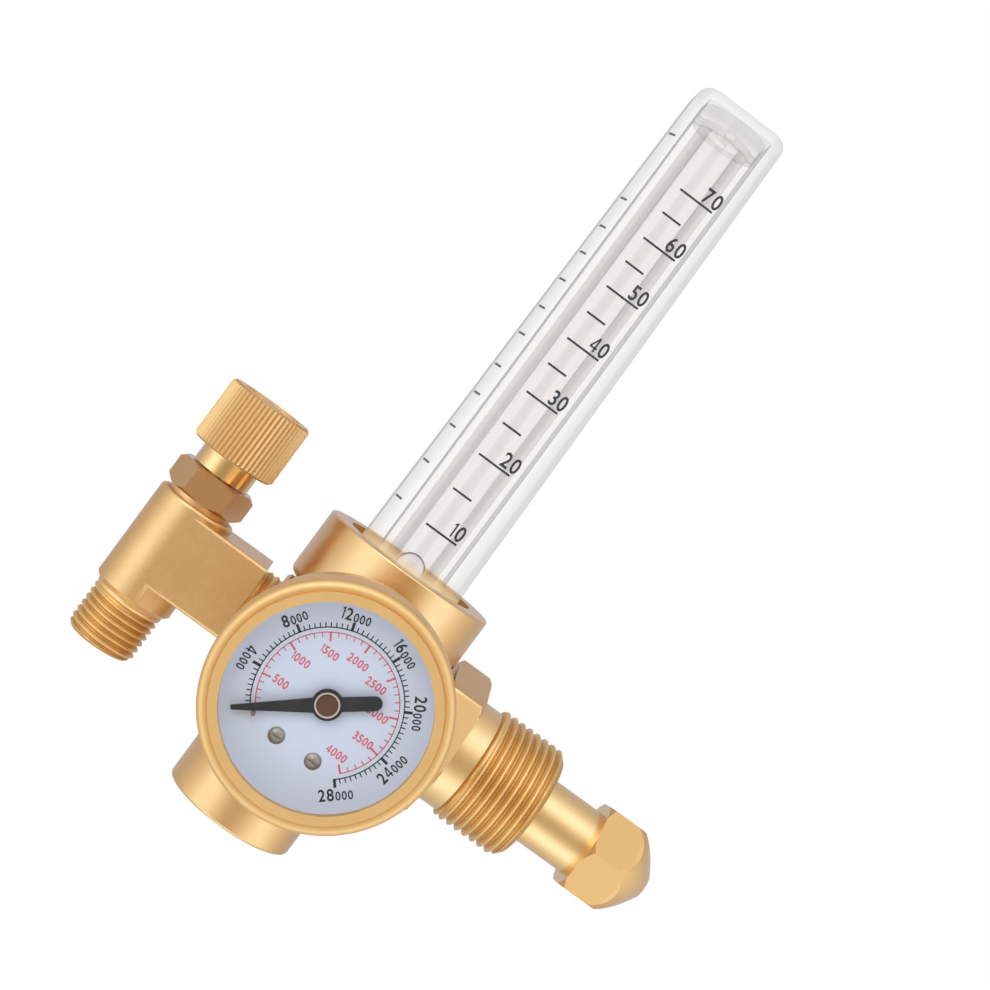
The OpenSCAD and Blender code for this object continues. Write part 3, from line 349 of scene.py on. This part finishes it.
MATERIALS = {
    "satin_brass": metal("satin_brass", BRASS, BRASS_WORN, 0.34, "Z", 0.05),
    "plain_brass": metal("plain_brass", PALE_BRASS, BRASS, 0.32, "X", 0.06),
    "polished_brass": metal("polished_brass", POLISHED, BRASS, 0.16, grain=0.04),
    "steel": metal("steel", srgb(196, 196, 198), srgb(150, 150, 152), 0.28),
    "bronze": metal("bronze", srgb(170, 130, 92), srgb(140, 100, 66), 0.36),
    "rubber": paint("rubber", srgb(28, 28, 30), srgb(42, 42, 44), 0.6, 900.0, 0.3),
    "ptfe": paint("ptfe", srgb(238, 238, 232), srgb(226, 226, 220), 0.45, 400.0),
    "clear_plastic": square_tube("clear_plastic", TUBE_CAVITY_HALF, [
        (0.0, 0.985), (0.5, 0.975), (0.82, 0.94), (0.92, 0.66), (1.0, 0.45)], [
        (0.0, 0.985), (0.08, 0.965), (0.18, 0.94), (0.35, 0.91), (0.8, 0.89), (0.93, 0.82), (1.0, 0.5)]),
    "dial_white": paint("dial_white", srgb(206, 211, 226), srgb(198, 203, 220), 0.5, 160.0, 0.05),
    "pointer_black": paint("pointer_black", srgb(24, 24, 28), srgb(38, 38, 42), 0.45, 700.0, 0.15),
}


def dial_face():
    """Matt dial with painted shade, a little darker towards its edge, where a faint painted glow lifts
    the bezel's shadow.
    """
    s = Shader("dial_face")
    away = s.from_axis((0, 0, AXIS_Z), (1, 0, 1))
    outward = s.remap(away, 0.0, 1.0, DIAL_PAINTED_SHADE_START_R, DIAL_PAINTED_SHADE_END_R)
    # Painted shade: the colour darkens towards the bezel
    s.put(Base_Color=s.ramp(outward, [
        (0.0, srgb(207, 211, 224)), (0.6, srgb(205, 210, 224)), (1.0, srgb(198, 204, 220))]))
    s.put(Roughness=s.remap(s.noise(400.0), 0.45, 0.6))
    # Painted light: a faint emission towards the edge
    s.put(Emission_Strength=1.0, Emission_Color=s.ramp(outward, [
        (0.0, (0.0, 0.0, 0.0)), (0.55, (0.012, 0.012, 0.015)), (1.0, (0.125, 0.15, 0.20))]))
    return s.material


def nipple_brass():
    """Nipple, duller on the flats of its nose than on its round neck and its tip."""
    s = Shader("nipple_brass")
    along = s.along("X")
    nose = s.math("MULTIPLY", s.math("GREATER_THAN", along, NOSE_X * MM),
                  s.remap(along, 1.0, 0.0, DOME_START_X * MM, DOME_BRIGHT_X * MM, smooth=True))
    rough = s.math("ADD", s.remap(s.noise(420.0), 0.27, 0.33), s.math("MULTIPLY", nose, 0.18))
    s.put(Base_Color=s.ramp(nose, [(0.0, PALE_BRASS), (1.0, FLAT_BRASS)]))
    s.put(Metallic=1.0, Roughness=rough, Normal=s.bump(s.noise(4200.0), 0.06, 0.00002))
    return s.material


def knob_brass():
    """Knurled knob, shaded at the bottom of its flutes, with a polished hub below it."""
    s = Shader("knob_brass")
    away = s.from_axis((VALVE_X, 0, 0), (1, 1, 0))
    hub = s.math("LESS_THAN", s.along("Z"), HUB_TOP_Z * MM)
    rough = s.math("SUBTRACT", s.remap(s.noise(420.0), 0.50, 0.58), s.math("MULTIPLY", hub, 0.36))
    plain = s.math("ADD", hub, s.math("LESS_THAN", away, KNOB_DISH_R))
    crest = s.math("ADD", s.remap(away, 0.0, 1.0, FLUTE_ROOT_R, FLUTE_CREST_R), plain)
    s.put(Base_Color=s.ramp(crest, [
        (0.0, srgb(196, 152, 98)), (0.5, srgb(226, 186, 128)), (1.0, srgb(234, 196, 138))]))
    s.put(Metallic=1.0, Roughness=rough, Normal=s.bump(s.noise(4200.0), 0.04, 0.00002))
    return s.material


def cap_face():
    """Pointer cap: a brownish middle, a painted reflection of the brass, inside a bright ring."""
    s = Shader("cap_face")
    away = s.from_axis((0, 0, AXIS_Z), (1, 0, 1))
    # Painted reflection: the brownish middle stands in for brass reflected in the cap's dimple
    s.put(Base_Color=s.ramp(s.remap(away, 0.0, 1.0, CAP_MIDDLE_R, CAP_RING_R), [
        (0.0, srgb(126, 98, 88)), (0.5, srgb(84, 66, 60)), (1.0, srgb(232, 226, 218))]))
    s.put(Metallic=1.0, Roughness=s.remap(s.noise(900.0), 0.25, 0.45))
    s.put(Normal=s.bump(s.noise(2600.0), 0.3, 0.00003))
    return s.material


def nut_brass():
    """Brass ring round the tube's foot, with painted shade that makes it darker inside its hole."""
    s = Shader("nut_brass")
    inner = s.math("LESS_THAN", s.from_axis((0, 0, 0), (1, 1, 0)), RING_HOLE_R)
    # Painted shade inside the hole
    s.put(Base_Color=s.ramp(inner, [(0.0, BRASS), (1.0, SHADED_BRASS)]))
    s.put(Metallic=1.0, Roughness=s.remap(s.noise(420.0), 0.29, 0.36))
    s.put(Normal=s.bump(s.noise(4200.0), 0.15, 0.00003))
    return s.material


NODE_MATERIALS = {
    "tube_nut": nut_brass(),
    "metering_tube": bored("metering_tube_clear", METERING_BORE_R, [
        (0.0, 0.925), (0.03, 0.94), (0.08, 0.99), (0.6, 0.98), (1.0, 0.86)], [
        (0.0, 0.99), (0.17, 0.985), (0.21, 0.79), (0.35, 0.82), (0.5, 0.89), (0.85, 0.92), (1.0, 0.95)]),
    "tube_top_plug": clear("plug_clear", [(0.0, 0.95), (0.5, 0.945), (0.85, 0.90), (1.0, 0.7)]),
    "float_ball": ball("ball_clear"),
    "gauge_lens": clear("lens_clear", [(0.0, 0.98), (0.5, 0.96), (1.0, 0.8)], 0.01),
    "gauge_bezel": metal("bezel_brass", srgb(230, 188, 128), srgb(222, 180, 120), 0.5,
                         grain=0.05, speck=0.4),
    "needle_valve_body": metal("valve_brass", BRASS, BRASS_WORN, 0.38, grain=0.5, sand=3000.0, speck=0.6),
    "bonnet_nut": metal("bonnet_brass", BROWN_BRASS, BROWN_WORN, 0.24, grain=0.1),
    "inlet_nipple": nipple_brass(),
    "valve_knob": knob_brass(),
    "regulator_body": metal("body_brass", BRASS, BRASS_WORN, 0.32, grain=0.15, speck=0.4),
    "dial_plate": dial_face(),
    "pointer_cap": cap_face(),
    "dial_screws": metal("screw_brown", srgb(168, 158, 146), srgb(96, 84, 72), 0.42, grain=0.5),
    "stop_pin": metal("pin_brown", srgb(160, 130, 118), srgb(120, 90, 80), 0.4),
}

for node_name, node_object in NODES.items():
    material = NODE_MATERIALS.get(node_name, MATERIALS[SLOT_OF[node_name]])
    if node_object.material_slots:
        for node_slot in node_object.material_slots:
            node_slot.material = material
    else:
        node_object.data.materials.append(material)


# Mesh helpers

def finish_mesh(name, mesh, materials, sharp_deg=32.0):
    """Object of a mesh, smooth but for edges sharper than sharp_deg."""
    bm = bmesh.new()
    bm.from_mesh(mesh)
    bmesh.ops.remove_doubles(bm, verts=bm.verts, dist=1e-7)
    bmesh.ops.recalc_face_normals(bm, faces=bm.faces)
    limit = math.radians(sharp_deg)
    for face in bm.faces:
        face.smooth = True
    for edge in bm.edges:
        edge.smooth = not (edge.is_manifold and edge.calc_face_angle(0.0) > limit)
    bm.to_mesh(mesh)
    bm.free()
    for material in materials:
        mesh.materials.append(material)
    obj = bpy.data.objects.new(name, mesh)
    bpy.context.scene.collection.objects.link(obj)
    return obj


def mesh_object(name, verts, faces, materials):
    """Object from points in millimetres."""
    mesh = bpy.data.meshes.new(name)
    mesh.from_pydata([tuple(c * MM for c in v) for v in verts], [], faces)
    return finish_mesh(name, mesh, materials)


def turned_grid(rows, columns, place):
    """Closed skin of rows of points, with a double seam that finish_mesh merges.

    Each row is (height, radius), and either can be a function of the angle.
    """
    verts = []
    for height, radius in rows:
        for k in range(columns + 1):
            angle = 2 * math.pi * k / columns
            r = radius(angle) if callable(radius) else radius
            h = height(angle) if callable(height) else height
            verts.append(place(r * math.cos(angle), r * math.sin(angle), h))
    faces = []
    count = len(rows)
    wide = columns + 1
    for i in range(count):
        j = (i + 1) % count
        for k in range(columns):
            faces.append((i * wide + k, i * wide + k + 1, j * wide + k + 1, j * wide + k))
    return verts, faces


def thread_rows(start, end, pitch, steps_per_pitch, radius_at):
    """Rows that follow a helix from start to end.

    radius_at takes a height and the place across the pitch.
    """
    rows = []
    step = pitch if end > start else -pitch
    low, high = min(start, end), max(start, end)
    count = math.ceil((abs(end - start) / pitch + 1) * steps_per_pitch)
    for k in range(count + 1):
        base = start + (k / steps_per_pitch - 1) * step

        def height(angle, base=base):
            return min(max(base + step * angle / (2 * math.pi), low), high)

        def radius(angle, height=height):
            h = height(angle)
            return radius_at(h, (h - step * angle / (2 * math.pi)) / pitch % 1.0)

        rows.append((height, radius))
    return rows


def groove(phase):
    """Depth of a vee thread across its pitch: 0 on the crest and 1 at the root, with narrow flats."""
    slope = (abs(2 * phase - 1) - CREST_FLAT) / (1 - CREST_FLAT - ROOT_FLAT)
    return min(max(slope, 0.0), 1.0)


def faded(height, start, pitch):
    """Share of a thread's full depth at a height near its start."""
    return min(max(abs(height - start) / (RUN_OUT * pitch), 0.0), 1.0)


def hex_radius(angle, half, turn):
    """Radius of a hexagon of half width across its flats, with a corner at turn."""
    sector = math.pi / 3
    return half / math.cos((angle - turn) % sector - sector / 2)


def toward_inlet(a, b, h):
    """Local height along +X, with the first axis pointing down, as the source turns it."""
    return (h, b, AXIS_Z - a)


def toward_valve(a, b, h):
    """Local height along -X, from the body towards the valve."""
    return (-h, b, AXIS_Z + a)


def on_valve(a, b, h):
    """Local height up the valve's own axis."""
    return (VALVE_X + a, b, h)


# Threads: flats, depth and run-out as shares of the pitch
CREST_FLAT = 0.1
ROOT_FLAT = 0.14
THREAD_DEPTH_RATIO = 0.5
RUN_OUT = 0.8
THREAD_STEPS_PER_PITCH = 14
PIPE_STEPS_PER_PITCH = 8


def thread_brass(name, centre, keep, crest_r, depth):
    """Thread with painted shade: darker at its root than on its crests."""
    s = Shader(name)
    away = s.from_axis(centre, keep)
    # Painted shade: the colour darkens from the crests down to the root
    s.put(Base_Color=s.ramp(s.remap(away, 0.0, 1.0, crest_r - depth, crest_r), [
        (0.0, srgb(206, 160, 98)), (0.45, srgb(228, 186, 122)), (1.0, srgb(238, 202, 142))]))
    s.put(Metallic=1.0, Roughness=s.remap(s.noise(420.0), 0.42, 0.50))
    s.put(Normal=s.bump(s.noise(4200.0), 0.05, 0.00002))
    return s.material


# Inlet nut with its thread
NUT_X = 19.1
NUT_HEX_END = 26.7
NUT_NECK_END = 31.5
NUT_END = 46.6
NUT_HALF = 13.65
NUT_NECK_R = 11.2
NUT_THREAD_R = 12.25
NUT_BORE_R = 7.03
NUT_RELIEF_R = 7.65
NUT_TURN = math.radians(43.1)
NUT_CUT = 1.1
NUT_CUT_SLOPE = 0.7
NUT_CUT_STEPS = 5
NUT_END_CHAMFER = 1.5
NUT_BEARING_L = 5.0
INLET_PITCH = 1.814
NUT_COLUMNS = 240
HEX_BRASS = metal("hex_brass", srgb(224, 182, 126), BRASS_WORN, 0.36, "X", 0.04, 0.25)


def nut_rows():
    """Outline of the nut from its back face over hexagon, neck and thread, and back through its bore."""
    corner = NUT_HALF / math.cos(math.pi / 6)

    def hexagon(limit):
        return lambda angle: min(hex_radius(angle, NUT_HALF, NUT_TURN), limit)

    rows = [(NUT_X, NUT_BORE_R)]
    for k in range(NUT_CUT_STEPS + 1):
        cut = NUT_CUT * (1 - k / NUT_CUT_STEPS)
        rows.append((NUT_X + (NUT_CUT - cut) * NUT_CUT_SLOPE, hexagon(corner - cut)))
    for k in range(NUT_CUT_STEPS + 1):
        cut = NUT_CUT * k / NUT_CUT_STEPS
        rows.append((NUT_HEX_END - (NUT_CUT - cut) * NUT_CUT_SLOPE, hexagon(corner - cut)))
    rows.append((NUT_HEX_END, NUT_NECK_R + 0.3))
    rows.append((NUT_HEX_END + 0.3, NUT_NECK_R))
    depth = THREAD_DEPTH_RATIO * INLET_PITCH

    def radius_at(h, phase):
        chamfer = NUT_THREAD_R - max(h - (NUT_END - NUT_END_CHAMFER), 0.0)
        lead = NUT_NECK_R + min((h - NUT_NECK_END) * 1.6, NUT_THREAD_R - NUT_NECK_R)
        cut = depth * groove(phase) * faded(h, NUT_NECK_END, INLET_PITCH)
        return min(NUT_THREAD_R - cut, chamfer, lead)

    rows.extend(thread_rows(NUT_NECK_END, NUT_END, INLET_PITCH, THREAD_STEPS_PER_PITCH, radius_at))
    rows.append((NUT_END, NUT_RELIEF_R + 0.5))
    rows.append((NUT_END - 0.5, NUT_RELIEF_R))
    rows.append((NUT_X + NUT_BEARING_L, NUT_RELIEF_R))
    rows.append((NUT_X + NUT_BEARING_L, NUT_BORE_R))
    return rows


def inlet_nut():
    """Nut with a hexagon of one brass, a neck of another and a thread shaded by its depth."""
    verts, faces = turned_grid(nut_rows(), NUT_COLUMNS, toward_inlet)
    threaded = thread_brass("inlet_thread_brass", (0, 0, AXIS_Z), (0, 1, 1), NUT_THREAD_R,
                            THREAD_DEPTH_RATIO * INLET_PITCH)
    nut = mesh_object("inlet_nut_threaded", verts, faces, [HEX_BRASS, threaded, MATERIALS["plain_brass"]])
    for polygon in nut.data.polygons:
        if polygon.center.x > (NUT_HEX_END + 0.1) * MM:
            polygon.material_index = 1 if polygon.center.x > NUT_NECK_END * MM else 2
    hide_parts("inlet_nut")
    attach(nut, "nut")


inlet_nut()


# Needle valve body: the solid's own form above the outlet, and a cut thread below
OUTLET_TOP = 22.55
OUTLET_END = 12.15
OUTLET_R = 7.145
OUTLET_BORE_R = 3.4
OUTLET_PITCH = 1.411
OUTLET_COLUMNS = 160
OUTLET_CHAMFER = 0.9
PIPE_COLUMNS = 96
PIPE_START = 18.0
PIPE_END = 21.5
PIPE_ROOT_R = 6.88
PIPE_CREST_R = 7.35


def outlet_rows():
    """Outline of the outlet from inside the barrel down over the thread, and back to its bore."""
    depth = THREAD_DEPTH_RATIO * OUTLET_PITCH
    start = OUTLET_TOP - 0.3
    rows = [(OUTLET_TOP + 1.5, OUTLET_BORE_R), (OUTLET_TOP + 1.5, OUTLET_R - depth)]

    def radius_at(h, phase):
        chamfer = OUTLET_R - max(OUTLET_END + OUTLET_CHAMFER - h, 0.0)
        return min(OUTLET_R - depth * groove(phase) * faded(h, start, OUTLET_PITCH), chamfer)

    rows.extend(thread_rows(start, OUTLET_END, OUTLET_PITCH, THREAD_STEPS_PER_PITCH, radius_at))
    rows.append((OUTLET_END, OUTLET_BORE_R + 1.6))
    rows.append((OUTLET_END + 1.6, OUTLET_BORE_R))
    return rows


def add_skin(bm, verts, faces, material_index):
    made = [bm.verts.new([c * MM for c in v]) for v in verts]
    for face in faces:
        bm.faces.new([made[i] for i in face]).material_index = material_index


def pipe_rows():
    """Outline of the pipe thread that shows between the block and the body."""
    def radius_at(h, phase):
        return PIPE_ROOT_R + (PIPE_CREST_R - PIPE_ROOT_R) * (1 - groove(phase))

    rows = [(PIPE_START, PIPE_ROOT_R - 0.3)]
    rows.extend(thread_rows(PIPE_START, PIPE_END, OUTLET_PITCH, PIPE_STEPS_PER_PITCH, radius_at))
    rows.append((PIPE_END, PIPE_ROOT_R - 0.3))
    return rows


def needle_valve():
    """Valve body cut off above its outlet, with the two threads as further skins of the same piece."""
    bm = bmesh.new()
    bm.from_mesh(NODES["needle_valve_body"].data)
    bmesh.ops.remove_doubles(bm, verts=bm.verts, dist=1e-7)
    cut = (OUTLET_TOP - 0.001) * MM
    geometry = bm.verts[:] + bm.edges[:] + bm.faces[:]
    bmesh.ops.bisect_plane(bm, geom=geometry, plane_co=(0, 0, cut), plane_no=(0, 0, 1), clear_inner=True)
    for face in bm.faces:
        face.material_index = 0
    add_skin(bm, *turned_grid(outlet_rows(), OUTLET_COLUMNS, on_valve), 1)
    add_skin(bm, *turned_grid(pipe_rows(), PIPE_COLUMNS, toward_valve), 1)
    mesh = bpy.data.meshes.new("needle_valve_threaded")
    bm.to_mesh(mesh)
    bm.free()
    threaded = thread_brass("outlet_thread_brass", (VALVE_X, 0, 0), (1, 1, 0), OUTLET_R,
                            THREAD_DEPTH_RATIO * OUTLET_PITCH)
    valve = finish_mesh("needle_valve_threaded", mesh, [NODE_MATERIALS["needle_valve_body"], threaded])
    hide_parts("needle_valve_body")
    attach(valve, "regulator")


needle_valve()


# Printed marks: gap between numerals as a share of their height, how far their outline is pushed out,
# and how far the marks stand off the surface

SPACING = 0.13
BOLDER = 0.018
PROUD = 0.03


class Sheet:
    """Thin printed marks gathered into one mesh: place turns millimetres on the sheet into a point."""

    def __init__(self, place):
        self.place = place
        self.verts = []
        self.faces = []

    def polygon(self, points):
        first = len(self.verts)
        self.verts.extend(self.place(*p) for p in points)
        self.faces.append(tuple(range(first, first + len(points))))

    def line(self, x0, y0, x1, y1, width):
        length = math.hypot(x1 - x0, y1 - y0)
        dx, dy = (y1 - y0) / length * width / 2, (x0 - x1) / length * width / 2
        self.polygon([(x0 - dx, y0 - dy), (x0 + dx, y0 + dy), (x1 + dx, y1 + dy), (x1 - dx, y1 - dy)])

    def spoke(self, r0, r1, angle_deg, width):
        c, s = math.cos(math.radians(angle_deg)), math.sin(math.radians(angle_deg))
        self.line(r0 * c, r0 * s, r1 * c, r1 * s, width)

    def arc(self, radius, width, start_deg, end_deg, steps):
        def at(k, r):
            angle = math.radians(start_deg + (end_deg - start_deg) * k / steps)
            return (r * math.cos(angle), r * math.sin(angle))
        outer = radius + width
        for k in range(steps):
            self.polygon([at(k, radius), at(k + 1, radius), at(k + 1, outer), at(k, outer)])

    def text(self, run, x, y, turn_deg=0.0, narrow=0.86):
        """One line of numerals centred on x, y: run is a list of (characters, height)."""
        parts = []
        along = 0.0
        for characters, height in run:
            for character in characters:
                points, polygons = numeral(character)
                points = [(px * height * narrow, py * height) for px, py in points]
                left = min(p[0] for p in points)
                right = max(p[0] for p in points)
                parts.append((points, polygons, along - left))
                along += right - left + SPACING * height
        total = along - SPACING * run[-1][1]
        c, s = math.cos(math.radians(turn_deg)), math.sin(math.radians(turn_deg))
        half = run[0][1] / 2
        for points, polygons, shift in parts:
            flat = [(px + shift - total / 2, py - half) for px, py in points]
            first = len(self.verts)
            self.verts.extend(self.place(x + px * c - py * s, y + px * s + py * c) for px, py in flat)
            self.faces.extend(tuple(first + i for i in polygon) for polygon in polygons)

    def piece(self, name, material):
        obj = mesh_object(name, self.verts, self.faces, [material])
        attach(obj, "regulator")


def glyph(character):
    """Flat points and faces of a numeral of the built-in font, standing on y = 0."""
    curve = bpy.data.curves.new("glyph", "FONT")
    curve.body = character
    curve.resolution_u = 4
    curve.offset = BOLDER
    holder = bpy.data.objects.new("glyph", curve)
    bpy.context.scene.collection.objects.link(holder)
    shaped = holder.evaluated_get(bpy.context.evaluated_depsgraph_get())
    mesh = bpy.data.meshes.new_from_object(shaped)
    points = [(v.co.x, v.co.y) for v in mesh.vertices]
    polygons = [tuple(p.vertices) for p in mesh.polygons]
    bpy.data.objects.remove(holder)
    bpy.data.curves.remove(curve)
    bpy.data.meshes.remove(mesh)
    return points, polygons


GLYPH_HEIGHT = max(p[1] for p in glyph("7")[0])

# Numerals drawn at a height of 1, as outlines
DRAWN = {
    "1": [[(0.13, 0.0), (0.27, 0.0), (0.27, 1.0), (0.16, 1.0), (0.0, 0.87), (0.0, 0.74), (0.13, 0.84)]],
    "4": [[(0.40, 0.0), (0.53, 0.0), (0.53, 1.0), (0.40, 1.0)],
          [(0.0, 0.22), (0.64, 0.22), (0.64, 0.34), (0.0, 0.34)],
          [(0.0, 0.34), (0.15, 0.34), (0.50, 1.0), (0.38, 1.0)]],
}


def numeral(character):
    """Flat points and faces of a numeral 1 high."""
    if character not in DRAWN:
        points, polygons = glyph(character)
        return [(px / GLYPH_HEIGHT, py / GLYPH_HEIGHT) for px, py in points], polygons
    points = []
    polygons = []
    for outline in DRAWN[character]:
        polygons.append(tuple(range(len(points), len(points) + len(outline))))
        points.extend(outline)
    return points, polygons


BLACK_INK = paint("black_ink", srgb(36, 36, 42), srgb(48, 48, 54), 0.5)
RED_INK = paint("red_ink", srgb(214, 76, 92), srgb(222, 96, 110), 0.5)
GREY_INK = paint("grey_ink", srgb(84, 82, 84), srgb(100, 98, 100), 0.5)

# Dial: angles count anticlockwise from the right, and the scales start at the first angle shown
DIAL_FRONT = 41.15
OUTER_ZERO_DEG = 225.5
OUTER_DEG_PER_4000 = 39.2
INNER_ZERO_DEG = 224.2
FIRST_SHOWN_DEG = 218.5
OUTER_SCALE_R = 13.0
OUTER_MAJOR_R = 14.55
OUTER_MINOR_R = 13.95
INNER_SCALE_R = 12.25
INNER_MAJOR_R = 10.65
INNER_MINOR_R = 11.4
OUTER_FULL = 28000
INNER_FULL = 4000
INNER_DEG_PER_500 = 33.5
OUTER_NUMERAL_R = 15.7
INNER_NUMERAL_R = 8.75
ARC_STEPS = 120


def on_dial(x, y):
    return (x, -DIAL_FRONT - PROUD, AXIS_Z + y)


def outer_scale():
    sheet = Sheet(on_dial)
    end_deg = OUTER_ZERO_DEG - OUTER_DEG_PER_4000 * OUTER_FULL / 4000
    sheet.arc(OUTER_SCALE_R, 0.2, FIRST_SHOWN_DEG, end_deg, ARC_STEPS)
    for k in range(OUTER_FULL // 400 + 1):
        angle = OUTER_ZERO_DEG - OUTER_DEG_PER_4000 * k / 10
        major = k % 10 == 0
        if angle < FIRST_SHOWN_DEG:
            reach, width = (OUTER_MAJOR_R, 0.5) if major else (OUTER_MINOR_R, 0.2)
            sheet.spoke(OUTER_SCALE_R, reach, angle, width)
    for value in range(4000, OUTER_FULL + 1, 4000):
        angle = OUTER_ZERO_DEG - OUTER_DEG_PER_4000 * value / 4000
        flipped = value > 20000 or value == 4000
        turn = angle + 90 if flipped else angle - 90
        x = OUTER_NUMERAL_R * math.cos(math.radians(angle))
        y = OUTER_NUMERAL_R * math.sin(math.radians(angle))
        sheet.text([(str(value // 1000), 2.05), ("000", 1.5)], x, y, turn)
    sheet.piece("dial_outer_scale", BLACK_INK)


def inner_scale():
    sheet = Sheet(on_dial)
    end_deg = INNER_ZERO_DEG - INNER_DEG_PER_500 * INNER_FULL / 500
    sheet.arc(INNER_SCALE_R - 0.1, 0.17, FIRST_SHOWN_DEG, end_deg, ARC_STEPS)
    for k in range(INNER_FULL // 100 + 1):
        major = k % 5 == 0
        angle = INNER_ZERO_DEG - INNER_DEG_PER_500 * k / 5
        if angle < FIRST_SHOWN_DEG:
            reach, width = (INNER_MAJOR_R, 0.34) if major else (INNER_MINOR_R, 0.17)
            sheet.spoke(reach, INNER_SCALE_R, angle, width)
    for value in range(500, INNER_FULL + 1, 500):
        angle = math.radians(INNER_ZERO_DEG - INNER_DEG_PER_500 * value / 500)
        x, y = INNER_NUMERAL_R * math.cos(angle), INNER_NUMERAL_R * math.sin(angle)
        sheet.text([(str(value), 1.45)], x, y)
    sheet.piece("dial_inner_scale", RED_INK)


outer_scale()
inner_scale()


# Flow tube's scale, on the front of the clear cover. Its marks drift to the right as they go up.
COVER_FOOT_Z = 55.95
COVER_TOP_Z = 165.5
COVER_FOOT_HALF = 10.975
COVER_TOP_HALF = 9.75
COVER_CORNER_R = 4.4
SCALE_HEIGHTS = {10: 68.0, 20: 84.3, 30: 98.9, 40: 111.4, 50: 123.5, 60: 134.8, 70: 146.1}
BETWEEN_HEIGHTS = [76.3, 91.6, 105.5, 117.5, 129.3, 140.7]
SIDE_HEIGHTS = [68.9, 77.4, 85.6, 93.2, 99.7, 107.1, 113.3, 119.7, 126.0, 132.1, 138.6, 153.6]
SIDE_START_DEG = 16
SIDE_STEP_DEG = 8
SIDE_STEPS = 4
SIDE_HALF_WIDTH = 0.22
MARK_WIDTH = 0.42
DRIFT_SPAN = 78.0


def cover_half(z):
    t = (z - COVER_FOOT_Z) / (COVER_TOP_Z - COVER_FOOT_Z)
    return COVER_FOOT_HALF + (COVER_TOP_HALF - COVER_FOOT_HALF) * t


def drift(z):
    """How far the marks at a height have drifted, from 0 at the lowest numbered mark."""
    return (z - SCALE_HEIGHTS[10]) / DRIFT_SPAN


def on_cover(x, z):
    return (x, -cover_half(z) - PROUD, z)


def round_corner(angle_deg, z):
    """Point on the cover's left front corner: 0 degrees faces left and 90 faces the front."""
    half = cover_half(z)
    corner = COVER_CORNER_R * half / COVER_FOOT_HALF
    angle = math.radians(angle_deg)
    reach = corner + PROUD
    return (corner - half - reach * math.cos(angle), corner - half - reach * math.sin(angle), z)


def flow_scale():
    sheet = Sheet(on_cover)
    for value, z in SCALE_HEIGHTS.items():
        sheet.line(-3.1 + 1.1 * drift(z), z, 3.9 + 1.5 * drift(z), z, MARK_WIDTH)
        sheet.text([(str(value), 3.0)], 2.8 + 1.3 * drift(z), z + 2.1, 0.0, 0.8)
    for z in BETWEEN_HEIGHTS:
        sheet.line(-3.05 + drift(z), z, 1.15 + drift(z), z, MARK_WIDTH)
    sheet.piece("flow_scale", BLACK_INK)


def side_ticks():
    sheet = Sheet(round_corner)
    for z in SIDE_HEIGHTS:
        low, high = z - SIDE_HALF_WIDTH, z + SIDE_HALF_WIDTH
        for k in range(SIDE_STEPS):
            a = SIDE_START_DEG + SIDE_STEP_DEG * k
            b = a + SIDE_STEP_DEG
            sheet.polygon([(a, low), (b, low), (b, high), (a, high)])
    sheet.piece("side_ticks", GREY_INK)


flow_scale()
side_ticks()


# Light

def lamp(name, place, target, size, power):
    data = bpy.data.lights.new(name, "AREA")
    data.shape = "RECTANGLE"
    data.size, data.size_y = size
    data.energy = power
    obj = bpy.data.objects.new(name, data)
    obj.matrix_world = look_at(Vector(place), Vector(target), 0.0)
    bpy.context.scene.collection.objects.link(obj)


lamp("key_lamp", (-0.35, -0.62, 0.45), (0.0, 0.0, 0.06), (0.3, 0.3), 0.8)

# Studio seen in reflections, by the direction's share towards the front: a light tent round a dim opening
TENT = [(0.0, (0.62, 0.66, 0.82)), (0.22, (0.58, 0.58, 0.66)), (0.40, (0.76, 0.73, 0.68)),
        (0.58, (1.00, 1.02, 1.02)), (0.74, (1.42, 1.62, 1.85)), (0.86, (1.38, 1.58, 1.80)),
        (0.93, (1.02, 1.00, 0.95)), (0.975, (0.64, 0.56, 0.46)), (1.0, (0.50, 0.42, 0.32))]
FRONT = (0.06, -0.995, -0.06)


def studio():
    """World that reflections see as the tent, and that the camera sees as plain white."""
    world = bpy.data.worlds.new("studio")
    world.use_nodes = True
    bpy.context.scene.world = world
    g = Graph(world.node_tree)
    direction = g.add("ShaderNodeTexCoord").outputs["Generated"]
    towards = g.vector("DOT_PRODUCT", direction, tuple(Vector(FRONT).normalized()), out="Value")
    light = g.ramp(g.remap(towards, 0.0, 1.0, -1.0, 1.0), TENT)
    path = g.add("ShaderNodeLightPath")
    seen = g.math("MAXIMUM", path.outputs["Is Camera Ray"], path.outputs["Is Transmission Ray"])
    light = g.vector("SCALE", light, scale=g.math("SUBTRACT", 1.0, seen))
    light = g.vector("ADD", light, g.vector("SCALE", (1.0, 1.0, 1.0), scale=seen))
    g.link(light, g.nodes["Background"].inputs["Color"])


studio()
